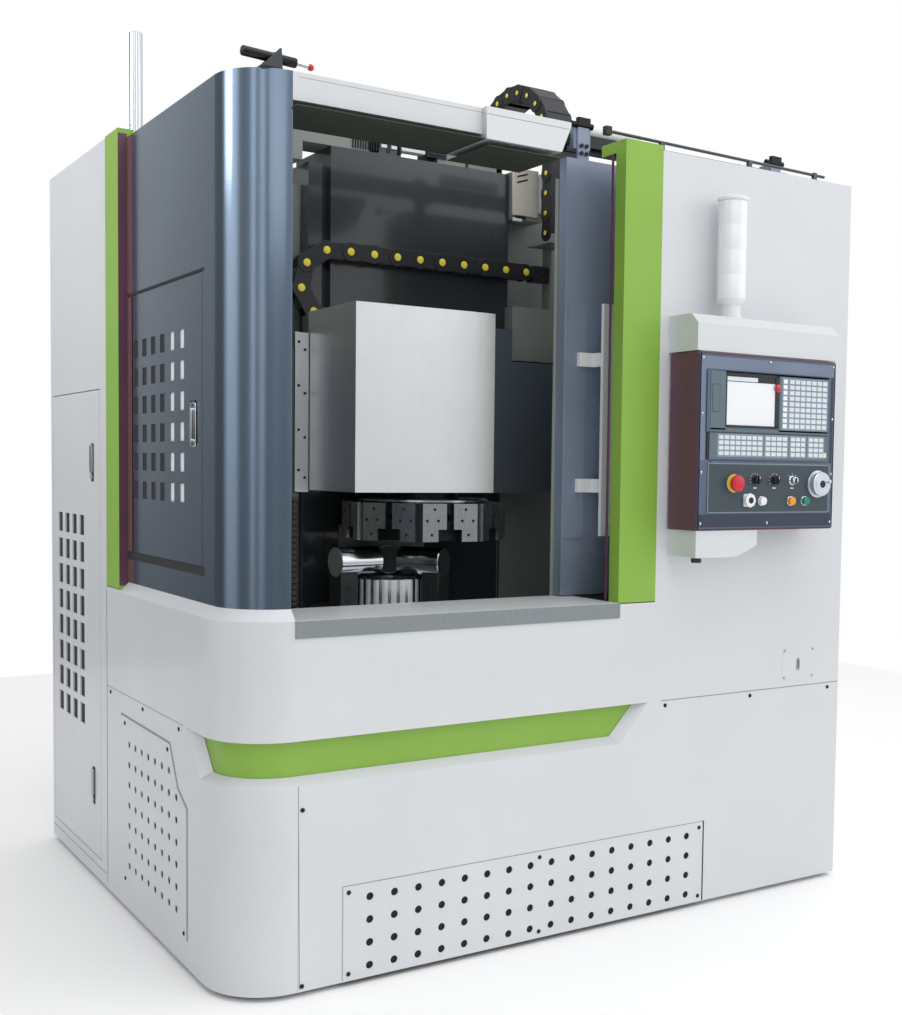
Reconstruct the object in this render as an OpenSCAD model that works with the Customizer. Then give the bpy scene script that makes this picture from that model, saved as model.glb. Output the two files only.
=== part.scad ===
// Vertical lathe: a chuck turns about a vertical axis, and a ram turret works over it from a
// cross slide on the column. The enclosure's front face is y = 0 and its lower edge z = 0 before
// place() moves every sub-part, so that the floor's centre under the whole machine is the origin.

/* [Enclosure] */
// Overall width of the sheet metal enclosure
body_w = 2220; // [2120:10:2400]
// Depth of the enclosure without the electrical cabinet
body_d = 1130; // [1120:10:1300]
// Height of the white right panel
panel_h = 2400; // [2360:10:2500]
// Height of the seam between the lower skirt and the upper band
seam_h = 680; // [620:10:740]
// Height of the top edge of the upper band, where the sill lies
band_h = 1000; // [960:10:1040]
// Radius of the rounded front left corner
corner_r = 184; // [120:2:240]
// Thickness of the sheet metal
sheet_t = 3; // [2:0.5:5]
// How far the dark left shell is set in from the band
shell_inset = 30; // [15:5:45]
// Width of the seams between the sheets of the inner guards and of the cabinet
seam = 0.3; // [0.1:0.1:0.8]
// Height of the dark left shell's top
shell_h = 2430; // [2400:10:2520]
// Gap between the skirt and the floor
skirt_gap = 15; // [10:5:60]
// Height of the coloured stripe
stripe_h = 100; // [60:5:140]
// Depth of the recess that holds the stripe
stripe_deep = 30; // [15:5:45]
// Where the stripe's lower edge ends on the side, from the front
stripe_side = 213; // [200:5:400]
// Where the stripe's lower edge ends on the front, from the left side
stripe_front = 1259; // [1000:10:1600]
// How far each end of the stripe slants over its height
stripe_slant = 110; // [40:5:160]

/* [Opening and front door] */
// Distance from the left side to the opening
opening_off = 184; // [180:2:260]
// Width of the opening between the left shell and the right post
opening_w = 1061; // [900:10:1100]
// Width of the green posts
post_w = 145; // [100:5:180]
// Thickness of the green posts
post_t = 50; // [30:5:60]
// Depth of the sill and of the recess in front of the door
recess_d = 250; // [220:5:280]
// Height of the sill's front lip
sill_lip = 46; // [25:1:60]
// Width of the sliding door
door_w = 1015; // [900:5:1020]
// Thickness of the sliding door
door_t = 38; // [25:1:45]
// Height of the door's top edge
door_top = 2400; // [2380:5:2410]
// Width of the door's left stile
stile_w = 240; // [160:5:300]
// Width of the door's other frame bars
bar_w = 120; // [80:5:160]
// Thickness of the window pane
pane_t = 12; // [6:1:20]
// Length of the door's handle bar
handle_l = 745; // [400:5:900]
// Height of the handle bar's lower end
handle_z = 1197; // [1100:5:1300]

/* [Electrical cabinet] */
// Width of the electrical cabinet
cabinet_w = 650; // [500:10:800]
// Depth of the electrical cabinet
cabinet_d = 750; // [600:10:900]
// Height of the electrical cabinet
cabinet_h = 2450; // [2300:10:2600]
// Height of the cabinet door's top edge
cab_door_top = 1650; // [1500:10:1900]
// Height of the cabinet door's lower edge
cab_door_low = 75; // [50:5:150]
// Width of the cabinet door
cab_door_w = 640; // [500:10:700]
// Thickness of the hinged sheet doors
hinged_t = 20; // [12:1:30]
// Gap round the hinged doors
door_gap = 3; // [2:0.5:6]
// How far the cabinet latches stand out
latch_out = 16; // [8:1:25]
// Diameter of the hinge pins of the sheet doors
pin_d = 8; // [5:1:10]
// Length of each hinge pin inside its door
pin_l = 25; // [15:1:40]

/* [Side door] */
// Front edge of the side door, from the enclosure's front
side_door_y = 284; // [260:2:400]
// Sheet left between the side door and the rear post
side_door_edge = 11; // [10:1:200]
// Height of the side door's lower edge above the band
side_door_up = 130; // [100:5:300]
// Height of the side door
side_door_h = 800; // [600:10:1000]

/* [Column and cross slide] */
// Left face of the column, from the middle of the enclosure
column_x = -468; // [-520:2:-420]
// Width of the column
column_w = 690; // [600:10:760]
// Front face of the column, from the enclosure's front
column_y = 810; // [800:5:840]
// Depth of the column
column_d = 290; // [200:10:310]
// Height of the column's top
column_h = 2462; // [2440:2:2500]
// Width of the cross slide and of the head cover
head_w = 488; // [440:4:500]
// Left side of the head cover, from the middle of the enclosure
head_x = -592; // [-600:1:-585]
// Front of the head cover
head_y = 350; // [330:5:360]
// Underside of the head cover
head_z = 1332; // [1325:1:1340]
// Height of the head cover
head_h = 568; // [560:1:580]
// Travel of the cross slide
x_travel = 400; // [300:10:400]
// Travel of the ram
z_travel = 300; // [200:10:300]
// Width of the guide rails
rail_w = 34; // [25:1:45]
// Height of the guide rails
rail_t = 30; // [22:1:35]
// Diameter of the ball screws
screw_d = 32; // [25:1:40]
// Radial clearance of running fits
fit = 0.05; // [0.02:0.01:0.08]
// Side length of the servo motors' flange
servo_w = 110; // [90:5:120]

/* [Turret] */
// Centre of the turret, from the middle of the enclosure
turret_x = -240; // [-250:1:-236]
// Turret width across flats
turret_flats = 480; // [440:2:482]
// Thickness of the turret disc
turret_t = 118; // [100:1:120]
// Number of stations
stations = 8; // [8:4:12]
// Angle by which the turret's faces are turned at rest, degrees
turret_turned = -9; // [-20:1:20]
// Width of the groove in each station
groove_w = 24; // [18:1:32]
// Depth of the groove in each station
groove_d = 14; // [8:1:20]
// Diameter of the tool bore in each station
tool_bore_d = 20; // [12:1:22]
// Width of the notch under each station
notch_w = 78; // [50:1:90]
// Height of the notch under each station
notch_h = 38; // [20:1:50]
// Diameter of the turret's shaft
turret_shaft_d = 120; // [80:2:140]

/* [Chuck and spindle] */
// Spindle axis, from the middle of the enclosure
spindle_x = -365; // [-390:5:-350]
// Spindle axis, from the enclosure's front, in one plane with the turret's axis
spindle_y = 570; // [566:1:572]
// Diameter of the chuck
chuck_d = 500; // [400:10:520]
// Thickness of the chuck
chuck_t = 120; // [80:5:160]
// Height of the chuck's face
chuck_z = 960; // [940:5:970]
// Diameter of the round locator on the chuck's face
hub_d = 234; // [160:2:240]
// Height of the locator over the chuck's face
hub_h = 95; // [80:5:130]
// Diameter of the through bore
bore_d = 90; // [60:2:120]
// Width of the jaw slots
slot_w = 50; // [36:1:60]
// Depth of the jaw slots
slot_t = 22; // [16:1:30]
// Diameter of the jaws' rounded noses
nose_d = 96; // [60:1:100]
// Radius at which the noses begin
nose_r0 = 48; // [48:1:70]
// Length of the noses
nose_l = 150; // [120:5:160]
// Radial travel of each jaw
jaw_travel = 12; // [6:1:20]
// Outer diameter of the spindle cartridge
cartridge_d = 330; // [300:5:380]
// Diameter of the spindle in its bearings
spindle_d = 180; // [150:5:200]

/* [Operator panel] */
// Left side of the operator panel, from the middle of the enclosure
pendant_x = 318; // [300:2:340]
// Width of the operator panel
pendant_w = 590; // [560:2:620]
// Lower edge of the operator panel
pendant_z = 1228; // [1200:2:1260]
// Height of the operator panel
pendant_h = 548; // [540:2:600]
// Front of the operator panel's box
pendant_out = 140; // [110:5:180]
// Gap behind the operator panel's box
pendant_gap = 10; // [4:1:20]
// Thickness of the control face
face_t = 6; // [3:1:10]
// Height of the hood over the operator panel
hood_h = 114; // [80:2:140]
// Diameter of the signal light
light_d = 96; // [60:2:110]
// Height of the signal light's lens
light_h = 325; // [200:5:360]
// Diameter of the handwheel
wheel_d = 80; // [60:1:90]
// Diameter of the emergency stop's head
stop_d = 52; // [40:1:60]
// Diameter of the push buttons and knobs
button_d = 26; // [20:1:30]

/* [Vents and fasteners] */
// Diameter of the vent holes
vent_d = 22; // [12:1:30]
// Vertical pitch of the vent holes
vent_pitch_z = 64.3; // [50:0.1:70]
// Horizontal pitch of the front vent holes
vent_pitch_x = 75.6; // [60:0.1:80]
// Horizontal pitch of the side vent holes
vent_pitch_y = 66; // [60:0.5:70]
// Diameter of the panel screws' heads
screw_head_d = 13; // [8:1:18]
// Diameter of the levelling feet
foot_d = 120; // [80:5:160]
// Diameter of the anchor holes in the bed's feet
anchor_d = 26; // [20:1:32]
// Diameter of the power inlet's gland bore
gland_bore = 32; // [20:1:40]

/* [Cable chains] */
// Height of a cable chain's links
chain_h = 62; // [45:1:70]
// Width of a cable chain's links
chain_w = 50; // [40:1:54]
// Bend radius of the cross slide's chain, at the pins
chain_r = 114; // [90:1:125]
// Width of the riser chain over the roof
riser_w = 110; // [60:5:120]
// Bend radius of the riser chain
riser_r = 253; // [120:1:260]
// Height of the riser chain's bend, at its centre
riser_z = 2535; // [2480:1:2700]

/* [Hidden] */
$fn = 48;

left = -body_w / 2;
right = body_w / 2;
total_d = body_d + cabinet_d;
wheel_out = 44;
front_out = pendant_out + face_t + wheel_out;
origin_x = latch_out / 2;
origin_y = (front_out - total_d) / 2;

shell_x = left + shell_inset;
open_x = left + opening_off;
post_x = open_x + opening_w;
edge_x = max(open_x, left + corner_r);
band_x = max(open_x - 10, left + corner_r);
stripe_z = seam_h - stripe_h;
beam_z = 2357;
post_top = panel_h + 15;

// Front door at rest, slid to the right behind the post and the right panel
door_play = 7;
door_x = right - door_play - door_w;
door_y = recess_d;
door_z = band_h + 4;
jamb_x = door_x - 12;
hanger_z = door_top + 40;

// Cross slide: gaps between column, saddle and ram, from the back to the front
slide_gap = 60;
saddle_t = 40;
saddle_y = column_y - slide_gap - saddle_t;
ram_gap = 40;
ram_w = 230;
ram_d = 220;
ram_x = turret_x - ram_w / 2;
ram_y = saddle_y - ram_gap - ram_d;
head_top = head_z + head_h;
cover_d = saddle_y - 10 - head_y;
ram_z = head_z + 14;
ram_top = head_top - 14;
slide_z = [head_z + 304, head_z + 462];
saddle_low = slide_z[0] - 22;
foot_y = column_y + 35;
guard_y = door_y + door_t + 3;
carriage_l = 88;
carriage_h = rail_t + 18;
rail_play = 0.5;
x_rail_x = column_x + 12;
x_rail_l = column_w - 24;
x_car_x = [x_rail_x + 4, x_rail_x + x_rail_l - x_travel - carriage_l - 4];
x_screw_z = (slide_z[0] + slide_z[1]) / 2;
x_screw_y = column_y - slide_gap / 2;
x_nut_x = (x_car_x[0] + x_car_x[1] + carriage_l) / 2;
z_rail_x = [ram_x + 35, ram_x + ram_w - 35 - rail_w];
z_car_z = [ram_top - 2 * carriage_l - 16, ram_top - carriage_l - 6];
z_screw_x = head_x + 92;
z_screw_y = saddle_y - 90;
z_screw_top = ram_z + z_travel + 84;
z_nut_z = z_screw_top - 34;
nut_l = 56;
nut_d = 58;

turret_y = spindle_y;
turret_top = head_z - 34;
turret_z = turret_top - turret_t;
plate_t = 10;
face_w = turret_flats * tan(180 / stations);

chuck_low = chuck_z - chuck_t;
jaw_turn = 244.4;
jaw_angles = [jaw_turn - 60, jaw_turn + 60, jaw_turn + 180];
nose_z = chuck_z + hub_h + 6 + nose_d / 2;
bed_z = 20;
bed_top = 420;
cartridge_z = bed_top + 30;

hood_z = pendant_z + pendant_h + 4;
face_y = -pendant_out - face_t;
panel_z = pendant_z + 147;
button_z = pendant_z + 92;
light_x = pendant_x + 189;
light_y = -70;

chain_top = head_top + 214;
chain_low = chain_top - 2 * chain_r;
chain_y = column_y - slide_gap / 2;
chain_fix_x = 366;
chain_bend_x = chain_fix_x - 846;
chain_end_x = head_x + 192;
riser_x = 302;
riser_front = saddle_y - 50;
riser_y = riser_front + chain_h / 2 + riser_r;
wall_y = column_y + 72;
wall_l = left + 215;
wall_r = 480;
floor_z = chuck_low + 40;
box_z = 1797;

white = [0.93, 0.93, 0.92];
leaf = [0.42, 0.66, 0.16];
slate = [0.20, 0.24, 0.31];
steel = [0.75, 0.76, 0.78];
iron = [0.36, 0.42, 0.45];
black = [0.08, 0.08, 0.09];

module place() translate([origin_x, origin_y, skirt_gap]) children();

// Block given by its two corners
module span(a, b) translate(a) cube([b[0] - a[0], b[1] - a[1], b[2] - a[2]]);

// Sweeps a profile (x = inwards from the outer face, y = height) round the front left corner
module wrap(y_end, x_end) {
    translate([left, y_end, 0]) rotate([90, 0, 0])
        linear_extrude(y_end - corner_r) children();
    translate([left + corner_r, corner_r, 0]) rotate([0, 0, 180])
        rotate_extrude(angle = 90) translate([corner_r, 0]) mirror([1, 0]) children();
    if (x_end > left + corner_r) translate([left + corner_r, 0, 0]) rotate([90, 0, 90])
        linear_extrude(x_end - left - corner_r) children();
}

// Extrudes an outline drawn in (y, z) along X from x over w
module along_x(x, w) translate([x, 0, 0]) rotate([90, 0, 90]) linear_extrude(w) children();

// Extrudes an outline drawn in (x, z) towards -Y, from y over d
module along_y(y, d) translate([0, y, 0]) rotate([90, 0, 0]) linear_extrude(d) children();

module rounded(w, h, r) {
    hull() for (x = [r, w - r], z = [r, h - r]) translate([x, z]) circle(r);
}

// Cylinder whose axis runs along -Y from the point at
module knob(at, d, l) translate(at) rotate([90, 0, 0]) cylinder(d = d, h = l);

// ---- Bed ----

module feet_places() for (x = [-860, -200, 400], y = [170, 1040]) translate([x, y, 0]) children();

module base_casting() place() color(iron) {
    bed_x = [-930, 470];
    difference() {
        union() {
            span([bed_x[0], 100, bed_z], [bed_x[1], body_d - 20, bed_top]);
            span([column_x - 20, column_y - 20, bed_top],
                [column_x + column_w + 20, body_d - 20, column_foot]);
            translate([spindle_x, spindle_y, bed_top]) cylinder(d = cartridge_d + 60, h = 30);
        }
        translate([spindle_x, spindle_y, bed_z - 1]) cylinder(d = cartridge_d - 30, h = 500);
        for (x = [bed_x[0] + 80, 20])
            span([x, 99, bed_z + 110], [x + 260, 240, bed_top - 60]);
        feet_places() translate([0, 0, bed_z - 1]) cylinder(d = anchor_d, h = 91);
        for (x = [bed_x[0] - 1, bed_x[1] - 120])
            span([x, 620, bed_z + 110], [x + 121, 900, bed_top - 60]);
    }
}

module leveling_feet() place() color(steel) feet_places() {
    translate([0, 0, -skirt_gap]) cylinder(d = foot_d, h = 18);
    translate([0, 0, 18 - skirt_gap]) cylinder(d = foot_d / 2, h = bed_z - 18 + skirt_gap, $fn = 6);
    translate([0, 0, bed_z]) cylinder(d = anchor_d - 2 * fit, h = 80);
}

// ---- Lower enclosure ----

module skirt_profile(top) {
    polygon([[0, 0], [0, top], [sheet_t, top], [sheet_t, sheet_t], [25, sheet_t], [25, 0]]);
}

// Cutter for the stripe's recess: the wall between the slanted ends, over the stripe's height
module recess_cut() {
    low = stripe_z - stripe_deep * 0.7;
    slope = stripe_slant / (seam_h - low);
    side_top = stripe_side + slope * (seam_h + 1 - low);
    front_low = left + stripe_front;
    front_top = front_low + slope * (seam_h + 1 - low);
    along_x(left - 1, sheet_t + 2)
        polygon([[corner_r, low], [stripe_side, low], [side_top, seam_h + 1], [corner_r, seam_h + 1]]);
    along_y(sheet_t + 1, sheet_t + 2)
        polygon([[left + corner_r, low], [front_low, low], [front_top, seam_h + 1],
            [left + corner_r, seam_h + 1]]);
    translate([left + corner_r, corner_r, low]) rotate([0, 0, 180]) rotate_extrude(angle = 90)
        translate([corner_r - sheet_t - 1, 0]) square([sheet_t + 2, seam_h + 1 - low]);
}

// Bevelled plate between two edges, each given by its lower and upper end
module bevel(a, b, c, d) {
    hull() for (p = [a, b, c, d]) translate(p) sphere(d = sheet_t, $fn = 6);
}

module side_vent_outline() polygon([[960, 75], [960, 610], [472, 606], [400, 490], [322, 450],
    [322, 75]]);

// Width by which a vent panel laps over the skirt round its opening
vent_lap = 15;

module lower_skirt() place() color(white) {
    low = stripe_z - stripe_deep * 0.7;
    half = sheet_t / 2;
    front_low = left + stripe_front;
    seam_x = left + corner_r + 10;
    difference() {
        wrap(body_d, seam_x) skirt_profile(seam_h);
        recess_cut();
        translate([left - 1, 0, 0]) rotate([90, 0, 90]) linear_extrude(sheet_t + 2)
            offset(delta = -vent_lap) side_vent_outline();
    }
    difference() {
        union() {
            along_x(seam_x + 1, right - seam_x - 1) skirt_profile(seam_h);
            span([right - sheet_t, 0, 0], [right, body_d, seam_h]);
        }
        recess_cut();
        span([-786, -1, -1], [500, 26, vent_top]);
    }
    // Bevel under the stripe and at its two slanted ends
    wrap(stripe_side, front_low) polygon([[0, low], [stripe_deep, stripe_z],
        [stripe_deep, stripe_z - sheet_t], [0, low - sheet_t]]);
    bevel([left + half, stripe_side, low], [left + half, stripe_side + stripe_slant, seam_h - half],
        [left + stripe_deep, stripe_side - 18, stripe_z],
        [left + stripe_deep, stripe_side + stripe_slant - 36, seam_h - half]);
    bevel([front_low, half, low], [front_low + stripe_slant, half, seam_h - half],
        [front_low - 18, stripe_deep, stripe_z],
        [front_low + stripe_slant - 36, stripe_deep, seam_h - half]);
}

module accent_stripe() place() color(leaf) {
    in = stripe_deep + sheet_t / 2 + 0.3;
    wrap(stripe_side + stripe_slant, left + stripe_front + stripe_slant)
        polygon([[in, stripe_z - 30], [in, seam_h - 4], [in + sheet_t, seam_h - 4],
            [in + sheet_t, stripe_z - 30]]);
}

vent_top = 265;

module front_vent_panel() place() color(white) difference() {
    span([-786, 0, 0], [500, sheet_t, vent_top]);
    for (i = [0:15], j = [0:3])
        knob([-704 + i * vent_pitch_x, sheet_t + 1, 226 - j * vent_pitch_z], vent_d, sheet_t + 2);
}

module side_vent_panel() place() color(white) difference() {
    translate([left - sheet_t, 0, 0]) rotate([90, 0, 90]) linear_extrude(sheet_t)
        side_vent_outline();
    for (k = [0:6], i = [0:(k == 0 ? 6 : 7)])
        translate([left - sheet_t - 1, 870 - i * vent_pitch_y, 529.5 - k * vent_pitch_z])
            rotate([0, 90, 0]) cylinder(d = vent_d, h = sheet_t + 2);
}

// ---- Upper enclosure ----

module upper_band() place() color(white) {
    c = shell_inset;
    t = sheet_t;
    in = stripe_deep + 6;
    wrap(body_d, band_x)
        polygon([[0, seam_h], [0, band_h], [c, band_h + c], [c + 14, band_h + c],
            [c + 14, band_h + c - t], [c + t / 2, band_h + c - t], [t, band_h - t / 2],
            [t, seam_h + t], [in, seam_h + t], [in, seam_h]]);
    along_x(band_x, right - t - band_x)
        polygon([[0, seam_h], [0, band_h - t], [t, band_h - t], [t, seam_h + t],
            [in, seam_h + t], [in, seam_h]]);
}

module sill() place() color(steel) {
    lip = 4;
    span([band_x, -lip, band_h - t_sill], [post_x + 5, guard_y, band_h]);
    span([wall_l + 1, guard_y, band_h - t_sill], [jamb_x - 1, guard_y + sheet_t, band_h]);
    span([band_x, -lip, band_h - sill_lip], [post_x + 5, 0, band_h - t_sill]);
}

t_sill = 3;

module left_enclosure() place() color(slate) {
    in = shell_inset;
    t = sheet_t;
    low = band_h + shell_inset;
    back = side_post_y - 0.5;
    difference() {
        union() {
            wrap(back, edge_x)
                polygon([[in, low], [in, shell_h], [in + t, shell_h], [in + t, low]]);
            span([edge_x - t, in, low], [edge_x, recess_d - 10, shell_h]);
            span([shell_x, corner_r, shell_h - t], [edge_x, back, shell_h]);
            span([edge_x, recess_d - 9, shell_h - t], [wall_l, back, shell_h]);
        }
        span([shell_x - 1, side_door_y - door_gap, side_door_z - door_gap],
            [shell_x + t + 1, side_door_y + side_door_w + door_gap,
                side_door_z + side_door_h + door_gap]);
    }
    hinge_pins(shell_x + hinge_in, side_door_y + side_door_w - hinge_in, side_door_z,
        side_door_z + side_door_h, shell_x + t);
    // Stops that the side door shuts against
    for (z = [side_door_z - 22, side_door_z + side_door_h - 8])
        span([shell_x + hinged_t + 1, side_door_y, z],
            [shell_x + hinged_t + 5, side_door_y + side_door_w - 40, z + 30]);
    for (z = [side_door_z - 22, side_door_z + side_door_h + 10])
        span([shell_x + t, side_door_y, z],
            [shell_x + hinged_t + 1, side_door_y + side_door_w - 40, z + 12]);
}

side_post_y = body_d - post_w;
side_door_w = side_post_y - side_door_edge - side_door_y;
side_door_z = band_h + side_door_up;

// Lugs and pins above and below a sheet door, at the hinge axis (x, y), for a door from z0 to z1
module hinge_pins(x, y, z0, z1, back) {
    lug = 18;
    for (z = [z0 - door_gap - lug, z1 + door_gap])
        span([back, y - hinge_in, z], [x + hinge_in, y + hinge_in, z + lug]);
    for (z = [z0 - door_gap - lug, z1 - pin_l])
        translate([x, y, z]) cylinder(d = pin_d, h = pin_l + door_gap + lug);
}

// Bores for the hinge pins in a sheet door
module hinge_bores(x, y, z0, z1) for (z = [z0 - 1, z1 - pin_l - 1])
    translate([x, y, z]) cylinder(d = pin_d + 2 * fit, h = pin_l + 2);

// Distance of each hinge axis from the door's edge and from its outer face
hinge_in = hinged_t / 2;

module corner_posts() place() color(leaf) {
    t = sheet_t;
    // Rear left post
    difference() {
        span([left, side_post_y, band_h + 10], [left + post_t, body_d - 1, cabinet_h + 5]);
        span([left + t, side_post_y + t, band_h + 9],
            [left + post_t + 1, body_d - 1 - t, cabinet_h + 5 - t]);
        along_y(body_d, post_w + 1) polygon([[left - 1, band_h - 1], [left + post_t + 1, band_h - 1],
            [left + post_t + 1, band_h + shell_inset], [left + shell_inset, band_h + shell_inset]]);
    }
    // Right post of the opening, deeper at its head
    difference() {
        union() {
            span([post_x, 0, band_h], [post_x + post_w, post_t, post_top]);
            span([post_x, post_t, panel_h - 20], [post_x + post_w, post_t + 76, post_top]);
        }
        span([post_x + t, t, band_h - 1], [post_x + post_w - t, post_t + 80, post_top - t]);
    }
}

module right_panel() place() color(white) {
    t = sheet_t;
    span([post_x + post_w, 0, band_h - t], [right, t, panel_h]);
    span([post_x + post_w, t, panel_h - t], [right, 130, panel_h]);
    span([right - t, 0, seam_h], [right, body_d, panel_h]);
    span([post_x + post_w, t, band_h - t], [post_x + post_w + t, 46, panel_h - t]);
}

module top_beam() place() color(white) {
    t = sheet_t;
    head_l = [-356, -66];
    // Long channel, open at the back
    span([edge_x, shell_inset, beam_z], [head_l[0], 240, beam_z + t]);
    span([edge_x, shell_inset, beam_z + t], [head_l[0], shell_inset + t, shell_h]);
    span([edge_x, shell_inset + t, shell_h - t], [head_l[0], 240, shell_h]);
    // Deeper head box at the right end, its end face slanting inwards
    difference() {
        along_y(240, 236) polygon([[head_l[0], beam_z - 17], [head_l[1] - 32, beam_z - 17],
            [head_l[1], shell_h - 12], [head_l[1], shell_h], [head_l[0], shell_h]]);
        along_y(241, 236 - t) polygon([[head_l[0] + t, beam_z - 17 + t],
            [head_l[1] - 34, beam_z - 17 + t], [head_l[1] - t, shell_h - 12], [head_l[1] - t, shell_h - t],
            [head_l[0] + t, shell_h - t]]);
    }
}

rail_beam_y = recess_d + door_t + 22;

module rear_panels() place() color(white) {
    t = sheet_t;
    difference() {
        span([left + cabinet_w, body_d - t, 0], [right - t, body_d, panel_h]);
        span([300, body_d - t - 1, 250], [900, body_d + 1, 1500]);
    }
    span([300 - 20, body_d, 230], [900 + 20, body_d + t, 1520]);
    // Shelf behind the rear panel that carries the riser chain's rear leg
    span([riser_x - 4, body_d - t, panel_h - 8],
        [riser_x + riser_w + 4, riser_y + riser_r + chain_h / 2 + 4, panel_h]);
}

// ---- Inside of the working space ----

module inner_guards() place() {
    t = sheet_t;
    low = floor_z + t + seam;
    back = wall_y - t - seam;
    color([0.62, 0.66, 0.64]) {
        // Floor round the chuck and the column
        difference() {
            span([wall_l + seam, guard_y, floor_z], [wall_r, wall_y, floor_z + t]);
            translate([spindle_x, spindle_y, floor_z - 1]) cylinder(d = chuck_d + 30, h = t + 2);
            span([column_x - 1, foot_y - 1, floor_z - 1],
                [column_x + column_w + 1, wall_y + 1, floor_z + t + 1]);
            span([column_x - flange_w - 1, foot_y - 1, floor_z - 1],
                [column_x, wall_y + 1, floor_z + t + 1]);
        }
        // Left wall and the back walls beside the column
        span([wall_l - t, guard_y, floor_z], [wall_l, wall_y, beam_z - 20]);
        span([wall_l + seam, wall_y - t, low], [column_x - flange_w - 2, wall_y, beam_z - 20]);
        span([column_x + column_w + 2, wall_y - t, low], [wall_r, wall_y, beam_z + 30]);
        // Right wall, short of the apron's path, and the wall behind the open door
        span([wall_r - t, guard_y + t + seam, low], [wall_r, saddle_y - 16, beam_z - 20]);
        span([jamb_x, guard_y, low], [wall_r, guard_y + t, beam_z - 20]);
        // Front wall under the sill
        span([wall_l + seam, guard_y, low], [jamb_x - seam, guard_y + t, band_h - t_sill]);
        // Chute panel with one rounded corner, on the column's foot
        along_y(foot_y - 1, t) difference() {
            translate([column_x + 50, low]) square([column_w - 60, 330]);
            translate([-90, floor_z + 40]) rounded(300, 400, 26);
        }
    }
    color(white) {
        // Drive box on the back wall, and the cable box under the chain's fixed end
        difference() {
            span([drive_x, back - 90, 2304], [drive_x + 126, back, column_h + 8]);
            for (z = [2345, 2378, 2411, 2444])
                span([drive_x + 14, back - 91, z], [drive_x + 90, back - 82, z + 8]);
        }
        span([box_x, saddle_y + saddle_t + 6, box_z], [chain_fix_x + 52, column_y - 2, box_top]);
        span([drive_x, column_y - 2, box_z], [chain_fix_x + 52, back, box_top]);
        // Bracket for the fixed ends of the two chains
        span([chain_fix_x + 2, chain_y - chain_w / 2, box_top],
            [chain_fix_x + 8, chain_y + chain_w / 2, riser_low]);
        span([riser_x, riser_front, riser_low - 6],
            [riser_x + riser_w, chain_y + chain_w / 2, riser_low]);
        // Tray and terminal boxes on the column's top
        span([column_x - 130, column_y, column_h], [column_x + 138, column_y + 130, column_h + 54]);
        span([column_x - 130, column_y, column_h - 60], [column_x - 100, column_y + 130, column_h]);
        span([column_x + 400, column_y + 4, column_h], [column_x + 512, column_y + 90, column_h + 60]);
    }
    color(slate)
        span([column_x + 524, column_y + 4, column_h], [column_x + 640, column_y + 80, column_h + 50]);
}

flange_w = 77;
drive_x = column_x + column_w + 2;
box_x = drive_x - 14;
box_top = box_z + 192;
riser_low = chain_top + chain_h / 2 + 72;

module column() place() color(slate) difference() {
    x1 = column_x + column_w;
    y1 = column_y + column_d;
    union() {
        span([column_x, column_y, saddle_low - 8], [x1, y1, column_h]);
        span([column_x, foot_y, column_foot], [x1, y1, saddle_low - 8]);
        // Stiffening flange beside the guide face, set back from it by a groove
        span([column_x - flange_w, column_y + 4, saddle_low - 8],
            [column_x - flange_w + 48, column_y + 150, column_h - 62]);
        span([column_x - flange_w, foot_y, column_foot],
            [column_x - flange_w + 48, column_y + 150, saddle_low - 8]);
        span([column_x - flange_w + 48, foot_y + 4, column_foot],
            [column_x, column_y + 150, column_h - 62]);
        // Lubrication pump on the top
        span([column_x + 142, column_y + 10, column_h],
            [column_x + 262, column_y + 110, column_h + 64]);
    }
    span([column_x + 40, foot_y + 40, column_foot + 40], [x1 - 40, y1 + 1, column_h - 60]);
}

column_foot = 700;

module x_rails() place() color(steel) for (z = slide_z)
    span([x_rail_x, column_y - rail_t, z], [x_rail_x + x_rail_l, column_y, z + rail_w]);

// Bearing block of a screw that runs along X, on the column's face
module x_bearing(x, l) difference() {
    span([x, x_screw_y - 22, x_screw_z - 22], [x + l, column_y, x_screw_z + 22]);
    translate([x - 1, x_screw_y, x_screw_z]) rotate([0, 90, 0])
        cylinder(d = screw_d + 2 * fit, h = l + 2);
}

module servo_body(w, l) {
    translate([-w / 2, -w / 2, 0]) cube([w, w, 14]);
    translate([0, 0, 14]) cylinder(d = w * 0.94, h = l - 54);
    translate([-w * 0.4, -w * 0.4, l - 40]) cube([w * 0.8, w * 0.8, 40]);
    translate([-w * 0.2, w * 0.4, l - 36]) cube([w * 0.4, w * 0.22, 30]);
}

module x_servo() place() color(black) {
    x_bearing(column_x + column_w - 30, 30 + servo_off);
    x_bearing(column_x, 30);
    translate([column_x + column_w + servo_off, x_screw_y, x_screw_z]) rotate([0, 90, 0])
        rotate([0, 0, 90]) difference() {
            servo_body(servo_w - 20, 190);
            translate([0, 0, -1]) cylinder(d = screw_d + 2 * fit, h = 31);
        }
}

module x_screw() place() color(steel)
    translate([column_x + 2, x_screw_y, x_screw_z]) rotate([0, 90, 0])
        cylinder(d = screw_d, h = column_w + servo_off + 24);

// How far the cross slide's servo stands off the column, clear of the saddle
servo_off = 80;

// ---- Cross slide ----

// Carriage that rides a rail along X on the column
module x_carriage(x, z) difference() {
    span([x, saddle_y + saddle_t, z - 22], [x + carriage_l, column_y - 8, z + rail_w + 22]);
    span([x - 1, column_y - rail_t - rail_play, z - rail_play],
        [x + carriage_l + 1, column_y + 1, z + rail_w + rail_play]);
}

// Carriage that rides one of the ram's rails
module z_carriage(x, z) difference() {
    span([x - 22, saddle_y - ram_gap + 8, z], [x + rail_w + 22, saddle_y, z + carriage_l]);
    span([x - rail_play, saddle_y - ram_gap - 1, z - 1],
        [x + rail_w + rail_play, saddle_y - ram_gap + rail_t + rail_play, z + carriage_l + 1]);
}

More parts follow.
